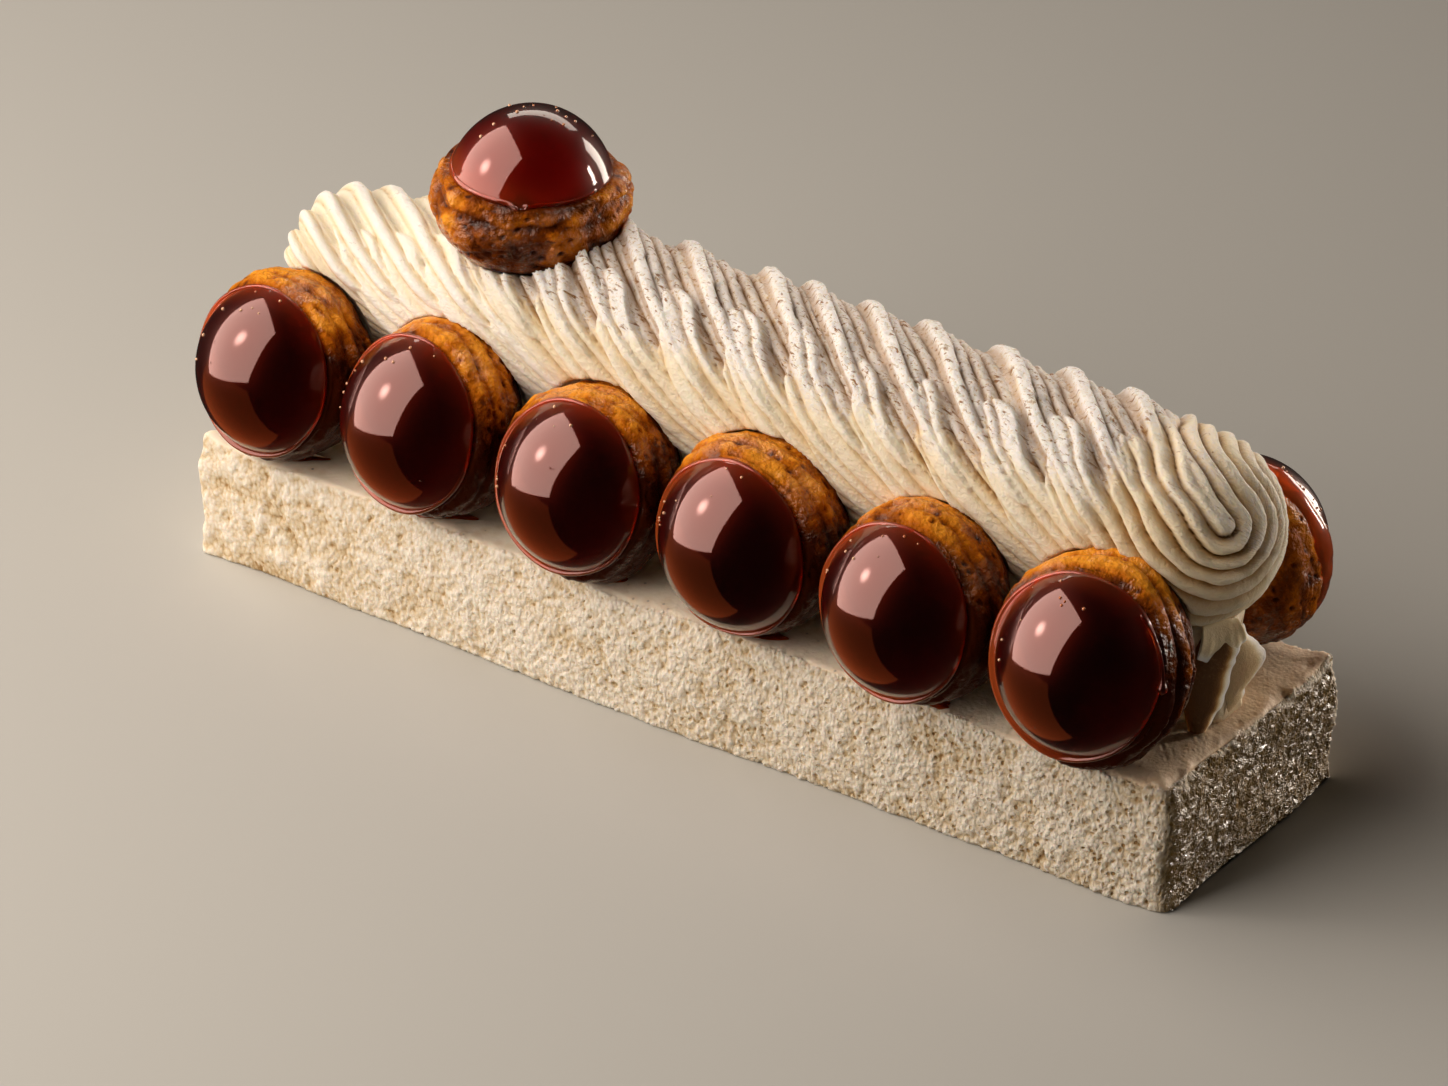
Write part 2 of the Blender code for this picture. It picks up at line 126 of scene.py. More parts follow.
# Caramel cap: the dome itself, and the collar of set caramel round its foot
DOME_RADIUS = 16.45
DOME_HEIGHT = 11.1
COLLAR_RADIUS = 16.3
COLLAR_REACH = 1.9
COLLAR_GROOVE = 0.5
COLLAR_WIDEST = math.radians(215.0)
CAP_COLUMNS = 112
RIM_RADIUS = 18.1
RIM_HEIGHT = 5.4
RIM_THICKNESS = 1.3
RIM_HALF_WIDTH = 2.6
TOP_DRIP = (math.radians(300.0), 0.10, 1.3, 2.2)
BACK_NUB = (math.radians(92.0), 0.08, 0.9, -0.4)
NO_DRIP = (0.0, 1.0, 0.0, 0.0)
RUN_BEARINGS = (48.0, -4.0)
BUBBLE_SEED = 12
DOME_BUBBLES = (9, (0.72, 0.97), (70.0, 200.0))
TOP_BUBBLES = (14, (0.12, 0.85), (5.0, 250.0))
RIM_BUBBLES = (60, (0.90, 0.995), (110.0, 250.0))

# Caramel pools on the slab: x, y and half length in mm, turn in degrees
CARAMEL_POOLS = ((-94.4, -25.2, 6.4, 24.0), (-57.2, -26.8, 7.8, 22.0), (-18.8, -27.8, 7.4, 19.0),
                 (19.2, -27.4, 7.4, 15.0), (58.2, -29.2, 7.2, 11.4), (95.0, -28.2, 7.6, 10.3))
POOL_HALF_WIDTH = 1.5
POOL_HEIGHT = 0.3
POOL_FRONT = -29.4
STAIN_HALF_WIDTH = 2.4

# Cream rope, in mm
ROPE_LEFT = -111.0
ROPE_RIGHT = 114.2
ROPE_RADIUS = 16.7
ROPE_AXIS_HEIGHT = 64.0
ROPE_UNDERSIDE = 49.0
ROPE_RIGHT_ROUNDING = 17.0
ROPE_LEFT_ROUNDING = 16.0
ROPE_THIN_START = -48.0
ROPE_THIN_SPAN = 50.0
ROPE_THINNING = 3.6
ROPE_DROOP = 5.2
RIDGE_SHEAR = 0.345
RIDGE_SHEAR_GROWTH = 0.0009
RIDGE_PITCH = 4.1
CREAM_DEPTH = 3.8
UPPER_LOBES = (-69.0, -56.0, -41.8, -26.7, -10.9, 8.2, 18.8, 32.0, 45.3, 62.3, 77.2, 91.4,
               106.0, 120.4, 134.2, 148.6, 162.5)
UPPER_FLANK = 5.8
LOWER_LOBES = (
    (-95.5, -103.0, 36.0),
    (-84.0, -92.5, 34.0),
    (-72.0, -81.0, 32.0),
    (-57.9, -68.0, 30.0),
    (-43.4, -53.4, 30.0),
    (-28.8, -38.8, 27.0),
    (-14.3, -22.2, 25.0),
    (1.1, -6.2, 24.0),
    (15.0, 7.0, 23.0),
    (30.4, 18.9, 31.0),
    (45.1, 33.6, 29.0),
    (59.6, 51.5, 27.0),
    (73.9, 66.9, 23.0),
    (88.0, 83.5, 20.0),
)
LEFT_LOOP_PITCH = 10.6
LEFT_LOOPS_START = -74.5
LEFT_LOOP_HEIGHT = 3.5
SUGAR_START = -66.0
SUGAR_SPAN = 26.0
# Painted shade on the rope's lower front side.
LOWER_SIDE_SHADE = 0.11
SWIRL_TURN = 43.0
SWIRL_RIDGE = 94.7
SWIRL_PITCH = 3.5
SWIRL_WARP = 1.3
SWIRL_START = 84.0
SWIRL_BEHIND = -35.0
SWIRL_BLEND = 0.35
SWIRL_SPAN = 12.0

# Cream bed, in mm
BED_LEFT = -108.0
BED_RIGHT = 109.5
BED_HALF_WIDTH = 7.2
BED_END_ROUNDING = 5.0

# Petals of cream between the last front bun and the slab's end, top one last: free edge and root in
# mm, hollow in mm, seed, and how dark their hollow is painted, as painted shade
PETALS = (
    ("front",
     ((110.7, -2.4, 47.5), (111.3, -1.9, 43.5), (110.9, -2.2, 40.0), (110.7, -2.5, 37.1),
      (110.2, -3.6, 33.5), (109.3, -5.7, 29.5), (108.4, -7.5, 27.0)),
     ((106.5, -6.0, 47.5), (105.2, -8.3, 43.0), (104.6, -9.0, 40.0), (104.5, -9.5, 37.0),
      (104.5, -9.8, 33.5), (105.0, -10.0, 30.0), (106.0, -9.8, 27.0)), -1.8, 3, 0.95),
    ("rear",
     ((109.8, 1.4, 46.5), (110.8, 2.7, 43.6), (113.1, 5.8, 39.8), (112.8, 5.4, 37.4),
      (110.9, 2.9, 33.1), (110.3, 2.0, 29.6), (108.6, -0.2, 27.2)),
     ((109.0, -2.5, 46.5), (109.0, -2.5, 43.0), (109.0, -2.3, 39.0), (109.0, -2.3, 36.0),
      (108.5, -2.5, 33.0), (108.0, -3.0, 30.0), (107.0, -3.5, 27.2)), -0.9, 5, 0.45),
    ("upper",
     ((106.9, -9.9, 43.4), (108.8, -6.8, 41.8), (110.8, -2.9, 42.4), (112.2, -0.6, 44.6)),
     ((107.3, -8.7, 50.0), (108.6, -6.0, 50.0), (109.8, -3.6, 50.0), (110.8, -1.8, 49.5)), 0.9, 7, 0.35),
)

# Lights in metres and watts, the camera's angles in radians, its aim and distance in cake lengths
WARM_WHITE = (1.0, 0.87, 0.75)
SHEEN_PINK = (1.0, 0.44, 0.36)
CARD_AMBER = (1.0, 0.17, 0.035)
LIGHT_TARGET = (0.0, 0.0, 0.06)
KEY_SIZE = (1.04, 1.144)
KEY_SPIN = 16
LAMP_SPOT = (0.5, 0.5, 0.0)
STRIPS = (
    ("right_strip", (0.18, 0.80, 0.12), (0.22, 0.5), 3.3),
    ("back_strip", (-0.28, 0.52, 0.42), (0.6, 0.16), 1.4),
    ("edge_strip", (0.50, 0.62, 0.16), (0.09, 0.26), 2.5),
)
ROOM_STRENGTH = 0.07
FLOOR_HALF = 3.0
FLOOR_HEIGHT = -0.0003
CAKE_LENGTH = 0.230
CAMERA_TURN = 0.617
CAMERA_RISE = 0.534
CAMERA_DISTANCE = 5.623
CAMERA_AIM = (-0.032, 0.0, 0.106)
FOCAL_PIXELS = 6579.18
PHOTO_WIDTH = 1448
SENSOR_WIDTH = 36.0

CARAMEL_BODY = (0.79, 0.49, 0.05, 1.0)
RANDOM_WORD = 0xFFFFFFFF


# Arrays and noise

def smooth_step(value):
    t = np.clip(value, 0.0, 1.0)
    return t * t * (3 - 2 * t)


def round_rise(value):
    """Quarter circle from 0 at 0 to 1 at 1, level beyond."""
    t = np.clip(value, 0.0, 1.0)
    return np.sqrt(1 - (1 - t) ** 2)


def lattice_random(cells, seed):
    """Number from 0 to 1 for each whole-number cell: its integers times primes, mixed by shifts."""
    mixed = cells[..., 0] * 73856093 ^ cells[..., 1] * 19349663 ^ cells[..., 2] * 83492791
    mixed = (mixed + seed * 668265263) & RANDOM_WORD
    for _ in range(2):
        mixed = ((mixed ^ (mixed >> 16)) * 73244475) & RANDOM_WORD
    return (mixed ^ (mixed >> 16)) / RANDOM_WORD


def smooth_noise(points, size, seed):
    """Noise from -1 to 1: lattice numbers a given size apart, blended by smooth steps."""
    place = points / size
    low = np.floor(place).astype(np.int64)
    share = smooth_step(place - low)
    total = np.zeros(points.shape[:-1])
    for corner in product((0, 1), repeat=3):
        step = np.array(corner)
        weight = np.where(step, share, 1 - share).prod(axis=-1)
        total += weight * lattice_random(low + step, seed)
    return 2 * total - 1


def rough_noise(points, size, seed, octaves=3):
    """Sum of smooth noises, each half the size and half the height of the one before."""
    return sum(smooth_noise(points, size / 2 ** k, seed + k) / 2 ** k for k in range(octaves))


def strewn_cells(points, size, seed):
    """Each lattice cell near the points, with their distance, in cells, to the point strewn in it."""
    place = points / size
    low = np.floor(place).astype(np.int64)
    for step in product((-1, 0, 1), repeat=3):
        cell = low + np.array(step)
        strewn = cell + np.stack([lattice_random(cell, seed + k) for k in range(3)], axis=-1)
        yield cell, np.linalg.norm(strewn - place, axis=-1)


def cell_noise(points, size, seed):
    """Distance, in cells, to the nearest strewn point."""
    return np.minimum.reduce([distance for _, distance in strewn_cells(points, size, seed)])


def plate_noise(points, size, seed):
    """Random level of the plate round the nearest strewn point, and the gap to the next one, in cells."""
    nearest, second = np.full((2, *points.shape[:-1]), np.inf)
    level = np.zeros(points.shape[:-1])
    for cell, distance in strewn_cells(points, size, seed):
        closer = distance < nearest
        second = np.where(closer, nearest, np.minimum(second, distance))
        level = np.where(closer, lattice_random(cell, seed + 7), level)
        nearest = np.minimum(nearest, distance)
    return level, second - nearest


def full_turn(count):
    """Evenly spaced angles once round."""
    return np.linspace(0, 2 * math.pi, count, endpoint=False)


# Meshes

def ring_triangles(rows, columns):
    """Two triangles for each cell between neighbouring rings, every ring closed on itself."""
    index = np.arange(rows * columns).reshape(rows, columns)
    after = np.roll(index, -1, axis=1)
    near = np.stack([index[:-1], after[:-1], after[1:]], axis=-1)
    far = np.stack([index[:-1], after[1:], index[1:]], axis=-1)
    return np.concatenate([near.reshape(-1, 3), far.reshape(-1, 3)])


def fan_triangles(ring, centre):
    """Triangles from one centre to every step of a ring."""
    return np.stack([np.full(len(ring), centre), ring, np.roll(ring, -1)], axis=-1)


def ladder_triangles(ring, long_side):
    """Closes a four-sided ring: rungs between its long sides, and a fan over each short side."""
    short_side = len(ring) // 2 - long_side
    lower = ring[:long_side + 1]
    upper = ring[long_side + short_side:2 * long_side + short_side + 1][::-1]
    rungs = [np.stack([lower[:-1], lower[1:], upper[1:]], axis=-1),
             np.stack([lower[:-1], upper[1:], upper[:-1]], axis=-1)]
    right = ring[long_side:long_side + short_side + 1]
    left = np.append(ring[2 * long_side + short_side:], ring[0])
    for side, corner in ((right[1:], right[0]), (left[:-1], left[-1])):
        rungs.append(np.stack([np.full(len(side) - 1, corner), side[:-1], side[1:]], axis=-1))
    return np.concatenate(rungs)


def signed_volume(points, triangles):
    a, b, c = (points[triangles[:, k]] for k in range(3))
    return np.einsum("ij,ij->", a, np.cross(b, c)) / 6


def make_piece(name, points, triangles, material, nodes=(), layers=None, uv=None):
    """Smooth mesh in metres from points in mm, faces outwards, with its named point layers."""
    if signed_volume(points, triangles) < 0:
        triangles = triangles[:, ::-1]
    mesh = bpy.data.meshes.new(name)
    mesh.vertices.add(len(points))
    mesh.vertices.foreach_set("co", (points * MM).astype(np.float32).ravel())
    corners = np.ascontiguousarray(triangles, dtype=np.int32).ravel()
    mesh.loops.add(len(corners))
    mesh.loops.foreach_set("vertex_index", corners)
    mesh.polygons.add(len(triangles))
    mesh.polygons.foreach_set("loop_start", np.arange(0, len(corners), 3, dtype=np.int32))
    mesh.update(calc_edges=True)
    mesh.polygons.foreach_set("use_smooth", np.ones(len(triangles), dtype=bool))
    for layer, values in (layers or {}).items():
        attribute = mesh.attributes.new(layer, "FLOAT", "POINT")
        attribute.data.foreach_set("value", values.astype(np.float32).ravel())
    if uv is not None:
        mesh.uv_layers.new(name="Ridges").data.foreach_set("uv", uv[corners].astype(np.float32).ravel())
    mesh.materials.append(material)
    mesh.validate()
    piece = bpy.data.objects.new(name, mesh)
    bpy.context.scene.collection.objects.link(piece)
    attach(piece, BODY)
    if nodes:
        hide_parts(*nodes)
    return piece


def make_rings(name, rings, material, nodes=(), layers=None, uv=None, ladder=0):
    """Closed piece through rings (rows, columns, 3), each end closed by a fan or a ladder."""
    rows, columns = rings.shape[:2]
    points = rings.reshape(-1, 3)
    triangles = [ring_triangles(rows, columns)]
    layers = {key: np.broadcast_to(value, (rows, columns)).ravel()
              for key, value in (layers or {}).items()}
    uv = None if uv is None else uv.reshape(-1, 2)
    ends = (np.arange(columns), np.arange(columns) + (rows - 1) * columns)
    for end, turn in zip(ends, (-1, 1)):
        if ladder:
            closing = ladder_triangles(end, ladder)
        else:
            closing = fan_triangles(end, len(points))
            points = np.vstack([points, points[end].mean(axis=0)])
            layers = {key: np.append(value, value[end].mean()) for key, value in layers.items()}
            uv = None if uv is None else np.vstack([uv, uv[end].mean(axis=0)])
        triangles.append(closing if turn > 0 else closing[:, ::-1])
    return make_piece(name, points, np.concatenate(triangles), material, nodes, layers, uv)


# Materials

def linear(hex_colour):
    """Linear RGBA of an sRGB hex colour."""
    channels = [int(hex_colour[i:i + 2], 16) / 255 for i in (0, 2, 4)]
    return (*[c / 12.92 if c <= 0.04045 else ((c + 0.055) / 1.055) ** 2.4 for c in channels], 1.0)


def add_node(tree, kind, inputs=None, stops=None, **settings):
    """Add a shader node: its settings, then its inputs by name or number, each a value or a link.

    A link is a pair of a node and one of its outputs. Stops are (place, hex colour) of a ramp.
    """
    node = tree.nodes.new(kind)
    for name, value in settings.items():
        setattr(node, name, value)
    for key, value in (inputs or {}).items():
        if isinstance(value, tuple) and isinstance(value[0], bpy.types.Node):
            tree.links.new(value[0].outputs[value[1]], node.inputs[key])
        else:
            node.inputs[key].default_value = value
    if stops:
        elements = node.color_ramp.elements
        while len(elements) < len(stops):
            elements.new(1.0)
        for element, (place, colour) in zip(elements, stops):
            element.position = place
            element.color = linear(colour)
    return node


def new_material(name):
    """Empty node material, its tree, and the object coordinates that its patterns lie in."""
    material = bpy.data.materials.new(name)
    material.use_nodes = True
    tree = material.node_tree
    tree.nodes.clear()
    return material, tree, (add_node(tree, "ShaderNodeTexCoord"), "Object")


def finish_material(tree, surface, density=None):
    """Principled surface from its inputs, and a body that absorbs light when a density is given."""
    output = add_node(tree, "ShaderNodeOutputMaterial", {
        "Surface": (add_node(tree, "ShaderNodeBsdfPrincipled", surface), 0)})
    if density:
        body = add_node(tree, "ShaderNodeVolumeAbsorption", {"Color": CARAMEL_BODY, "Density": density})
        tree.links.new(body.outputs[0], output.inputs["Volume"])


def layer(tree, name):
    """One of the mesh's point layers."""
    return add_node(tree, "ShaderNodeAttribute", attribute_name=name), "Fac"


def stretched(tree, place, scale):
    """Coordinates scaled by each axis."""
    return add_node(tree, "ShaderNodeMapping", {"Vector": place, "Scale": scale}), 0


def clouds(tree, place, scale, detail=2.0, roughness=0.5, distortion=0.0):
    """Soft noise from 0 to 1, its scale in waves a metre."""
    return add_node(tree, "ShaderNodeTexNoise", {"Vector": place, "Scale": scale, "Detail": detail,
                                                 "Roughness": roughness, "Distortion": distortion}), "Fac"


def cells(tree, place, scale):
    """Distance to the nearest strewn point, its scale in points a metre."""
    return add_node(tree, "ShaderNodeTexVoronoi", {"Vector": place, "Scale": scale}), "Distance"


def reckon(tree, operation, first, second, third=0.0):
    """One step of arithmetic on values or links."""
    return add_node(tree, "ShaderNodeMath", {0: first, 1: second, 2: third}, operation=operation), 0


def scaled(tree, value, factor, plus):
    """value * factor + plus"""
    return reckon(tree, "MULTIPLY_ADD", value, factor, plus)


def remap(tree, value, low, high, at_low=0.0, at_high=1.0, kind="LINEAR"):
    """Carry low...high over to at_low...at_high, level beyond."""
    return add_node(tree, "ShaderNodeMapRange", {"Value": value, "From Min": low, "From Max": high,
                                                 "To Min": at_low, "To Max": at_high},
                    interpolation_type=kind), 0


def ramp(tree, value, *stops):
    """Colour ramp through stops of a place and a hex colour."""
    return add_node(tree, "ShaderNodeValToRGB", {"Fac": value}, stops), 0


def blend(tree, share, first, second):
    """Colours mixed by a share of the second; each is a link or a hex colour."""
    first, second = (linear(colour) if isinstance(colour, str) else colour for colour in (first, second))
    return add_node(tree, "ShaderNodeMix", {0: share, 6: first, 7: second}, data_type="RGBA"), 2


def bumped(tree, height, strength, distance, **below):
    """Bumps of a height, on top of another normal where one is named."""
    return add_node(tree, "ShaderNodeBump", {"Height": height, "Strength": strength, "Distance": distance,
                                             **below}), 0


def sponge_material():
    """Baked almond sponge with a cut, open crumb and a thin smooth skin on top.

    The crumb is matt and lets a little light in; its pits and deeper relief are painted darker ochre, as
    painted shade. Its right end is damp and glints, and is painted darker, partly for the damp and partly as
    painted shade.
    """
    material, tree, place = new_material("baked_sponge_crumb")
    pit, skin, wet = layer(tree, "pit"), layer(tree, "skin"), layer(tree, "wet")
    stain, openness = layer(tree, "stain"), layer(tree, "openness")
    squeezed = stretched(tree, place, (1.0, 1.0, 0.7))
    grain = clouds(tree, squeezed, 900.0, 5.0, 0.7)
    patches = clouds(tree, place, 60.0, 4.0)
    holes = reckon(tree, "MULTIPLY", remap(tree, cells(tree, place, 620.0), 0.16, 0.30, 1.0, 0.0), openness)
    relief = scaled(tree, holes, -0.6, scaled(tree, cells(tree, squeezed, 1150.0), -0.65, grain))
    depth = scaled(tree, relief, -0.85, scaled(tree, openness, 0.04, 0.37))
    # Painted shade: pits and deeper relief are painted darker ochre.
    crumb = ramp(tree, scaled(tree, pit, 0.75, depth),
                 (0.16, "FAF2E4"), (0.38, "EEE2CE"), (0.66, "DDC8A4"), (0.98, "A8824E"))
    # The damp right end is painted darker: partly damp, partly painted shade.
    damp_and_shade = blend(tree, reckon(tree, "MULTIPLY", wet, 0.85), crumb, "8E7034")
    crust = ramp(tree, cells(tree, place, 330.0), (0.06, "2E180C"), (0.13, "F0D8B4"), (0.5, "FFF0D8"))
    right_end = remap(tree, openness, 0.86, 1.0, 0.0, 0.5)
    browned = blend(tree, right_end, blend(tree, patches, crust, "FFF0DC"), "C2904E")
    colour = blend(tree, skin, damp_and_shade, blend(tree, stain, browned, "7A4A2A"))
    shining = reckon(tree, "MULTIPLY", remap(tree, patches, 0.40, 0.56, 0.25), wet)
    matt = scaled(tree, skin, -0.15, scaled(tree, wet, -0.58, 0.74))
    crisp = scaled(tree, reckon(tree, "MAXIMUM", skin, wet), -0.85, 1.0)
    bump = bumped(tree, relief, reckon(tree, "MULTIPLY", crisp, openness), 0.0013)
    beads = clouds(tree, stretched(tree, place, (1.0, 0.65, 1.0)), 400.0, 4.0, 0.6, 0.3)
    glints = bumped(tree, beads, wet, 0.0085, Normal=bump)
    finish_material(tree, {
        "Base Color": colour, "Roughness": matt, "Normal": glints, "IOR": 1.45, "Subsurface Weight": 0.15,
        "Subsurface Radius": (1.0, 0.6, 0.35), "Subsurface Scale": 0.0012,
        "Coat Weight": shining, "Coat Roughness": 0.07, "Coat IOR": 1.85, "Coat Normal": glints})
    return material


def pastry_material():
    """Choux shell baked golden brown: matt in its pits, glossy where caramel wetted it, its foot soaked.

    Its browning layer also holds painted shade: darker down its sides, in its pits and in its fold valleys,
    and lighter on raised plates and blisters.
    """
    material, tree, place = new_material("baked_choux_shell")
    toast = layer(tree, "toast")
    broad = clouds(tree, place, 230.0, 6.0, 0.62, 0.3)
    colour = ramp(tree, scaled(tree, broad, 0.9, toast),
                  (0.17, "EC9A2C"), (0.43, "B8640C"), (0.69, "703204"), (0.95, "361003"))
    dry = remap(tree, toast, 0.80, 0.45)
    wetted = remap(tree, clouds(tree, place, 150.0, 4.0, 0.65), 0.48, 0.55)
    rough = reckon(tree, "ADD", broad, clouds(tree, place, 900.0, 4.0))
    bump = bumped(tree, rough, scaled(tree, dry, 0.72, 0.10), 0.0011)
    finish_material(tree, {
        "Base Color": colour, "Roughness": remap(tree, broad, 0.35, 0.65, 0.14, 0.46), "Normal": bump,
        "IOR": 1.48,
        "Subsurface Weight": 0.12, "Subsurface Radius": (1.0, 0.4, 0.12), "Subsurface Scale": 0.002,
        "Specular IOR Level": 0.16, "Specular Tint": linear("E09A5C"),
        "Coat Weight": reckon(tree, "MULTIPLY", wetted, dry), "Coat Roughness": 0.08, "Coat IOR": 1.5,
        "Coat Normal": bump})
    return material


def caramel_material(name, density):
    """Dark amber caramel set hard: a clear polished skin over a body that clouds the light in it.

    Its thin rim is lighter red brown, brightest on its left side where the key light falls, which is a
    painted glow;
    its thick dome turns nearly black, as the body swallows green and blue. A few bubbles are caught just
    under the skin.
    """
    material, tree, place = new_material(name)
    thin = layer(tree, "thin")
    domed = remap(tree, cells(tree, place, 380.0), 0.0, 0.1, 1.0, 0.0, "SMOOTHSTEP")
    chosen = remap(tree, clouds(tree, place, 130.0, 1.0), 0.56, 0.60)
    finish_material(tree, {
        "Base Color": blend(tree, thin, "B44820", "FF7E3A"), "Roughness": 0.36, "IOR": 1.22,
        "Transmission Weight": scaled(tree, thin, -0.20, 1.0), "Specular Tint": linear("FF5A32"),
        "Coat Weight": 1.0, "Coat Roughness": 0.012, "Coat IOR": 1.42,
        "Coat Normal": bumped(tree, reckon(tree, "MULTIPLY", domed, chosen), 1.0, 0.00025)}, density)
    return material


def bubble_material():
    """Air caught in caramel, as tiny beads whose pale colour is a painted glint; the colour runs at random
    from amber to pale.
    """
    material, tree, place = new_material("caramel_bubbles_painted_glint")
    finish_material(tree, {
        "Base Color": ramp(tree, clouds(tree, place, 90.0), (0.35, "C4682E"), (0.6, "F6C8A0")),
        "Roughness": 0.25, "Coat Weight": 1.0, "Coat Roughness": 0.02, "Coat IOR": 1.5})
    return material


def cream_material(name, grit):
    """Whipped cream piped in ridges: soft, nearly matt, lets a little light in, and is painted warm brown in
    its grooves as painted shade.

    Where it is dusted, sugar makes the upward faces dry and white. Short brown flecks lie across
    the ridges, where the cream's stutter left the powder thin. Grit is how rough the surface is.
    """
    material, tree, place = new_material(name)
    ridges = add_node(tree, "ShaderNodeUVMap", uv_map="Ridges"), 0
    dust, groove = layer(tree, "dust"), layer(tree, "groove")
    fine = clouds(tree, place, 1300.0, 4.0, 0.75)
    stutter = clouds(tree, stretched(tree, ridges, (0.5, 1.3, 1.0)), 1.0, 3.0, 0.6, 0.4)
    # Painted shade: the groove layer paints the cream and its powder warmer and darker brown.
    painted_groove_shade = ramp(tree, groove,
                (0.0, "FFFDF8"), (0.15, "FEF4DE"), (0.40, "EDD6AC"), (0.70, "B88A4C"), (1.0, "6C4418"))
    grains = ramp(tree, fine, (0.33, "94683A"), (0.40, "EEDFC6"), (0.47, "FFFFFF"))
    powder = blend(tree, remap(tree, stutter, 0.335, 0.42), "96693A", blend(tree, groove, grains, "B08248"))
    patchy = scaled(tree, clouds(tree, place, 170.0, 3.0), 0.9, scaled(tree, fine, 1.3, dust))
    finish_material(tree, {
        "Base Color": blend(tree, remap(tree, patchy, 1.25, 1.7), painted_groove_shade, powder),
        "Roughness": 0.46, "IOR": 1.45,
        "Normal": bumped(tree, scaled(tree, stutter, 0.8, fine), grit, 0.0008),
        "Subsurface Weight": 0.2, "Subsurface Radius": (1.0, 0.62, 0.3), "Subsurface Scale": 0.0018})
    return material


# Sponge slab

def slab_outline():
    """One turn round the slab from its front left corner, as shares of its half sizes."""
    along, across = (np.arange(count) / count for count in SLAB_COLUMNS)
    x = np.concatenate([2 * along - 1, np.ones(len(across)), 1 - 2 * along, -np.ones(len(across))])
    y = np.concatenate([-np.ones(len(along)), 2 * across - 1, np.ones(len(along)), 1 - 2 * across])
    return x, y


def slab_rings():
    """Slab's skin: a box whose rings rise up its walls, then shrink inwards over its top.

    Each point is pushed out from an inner box by the edge radius, which rounds every edge.
    """
    x, y = slab_outline()
    wall = np.linspace(0.0, SLAB_HEIGHT, SLAB_WALL_ROWS)
    inset = SLAB_TOP_INSET * np.linspace(0.0, 1.0, SLAB_TOP_ROWS + 1)[1:] ** 1.7
    height = np.concatenate([wall, np.full(SLAB_TOP_ROWS, SLAB_HEIGHT)])[:, None]
    shrink = np.concatenate([np.zeros(SLAB_WALL_ROWS), inset])[:, None]
    box = np.stack([x * (SLAB_HALF[0] - shrink), y * (SLAB_HALF[1] - shrink),
                    height + 0 * x], axis=-1)
    worn = np.exp(-((box[..., 0] - SLAB_WORN_CORNER[0]) ** 2 + (box[..., 1] - SLAB_WORN_CORNER[1]) ** 2) / 30)
    radius = SLAB_EDGE_RADIUS * (1 + 1.6 * worn + 0.5 * smooth_noise(box, 9.0, 3))
    inner_x = np.clip(box[..., 0], -(SLAB_HALF[0] - radius), SLAB_HALF[0] - radius)
    inner_y = np.clip(box[..., 1], -(SLAB_HALF[1] - radius), SLAB_HALF[1] - radius)
    inner_z = np.clip(box[..., 2], 0.3 * radius, SLAB_HEIGHT - radius)
    inner = np.stack([inner_x, inner_y, inner_z], axis=-1)
    out = box - inner
    out /= np.maximum(np.linalg.norm(out, axis=-1, keepdims=True), 1e-9)
    return inner + out * radius[..., None], out


def slab_swell(skin):
    """Slow unevenness of the walls: the front bulges, the left end swells, top edges sag."""
    x, y, z = np.moveaxis(skin, -1, 0)
    along, across, rise = x / SLAB_HALF[0], y / SLAB_HALF[1], z / SLAB_HEIGHT
    wave = sum(share * np.sin(2 * math.pi * MM * (per_x * x + per_z * z) + phase)
               for per_x, per_z, share, phase in SLAB_WAVES)
    at_side = smooth_step((np.abs(y) - SLAB_HALF[1] + 6) / 6)
    at_end = smooth_step((np.abs(x) - SLAB_HALF[0] + 8) / 8)
    at_top = smooth_step((z - SLAB_HEIGHT + 9) / 9)
    bulge = np.where(across < 0, SLAB_FRONT_BULGE * (1 - along ** 2), 0.0)
    side = bulge * np.sin(math.pi * (0.15 + 0.7 * rise)) + 0.5 * SLAB_UNEVENNESS * wave
    side -= 0.6 * SLAB_EDGE_SAG * at_top
    ends = SLAB_UNEVENNESS * np.sin(2 * math.pi * MM * (SLAB_END_WAVES[0] * y + SLAB_END_WAVES[1] * z))
    ends += np.where(along < 0, SLAB_LEFT_SWELL, 0.0) - 0.27 - 0.8 * SLAB_EDGE_SAG * at_top
    drop = -SLAB_EDGE_SAG * np.maximum(at_side * (0.7 + 0.25 * wave), 0.5 * at_end) * at_top
    corner = SLAB_CORNER_RISE * at_side * at_end * at_top
    return np.stack([np.sign(x) * ends * at_end, np.sign(y) * side * at_side, drop + corner], axis=-1)


def turned(x, y, degrees):
    """Plan coordinates turned about the origin."""
    angle = math.radians(degrees)
    return x * math.cos(angle) - y * math.sin(angle), x * math.sin(angle) + y * math.cos(angle)


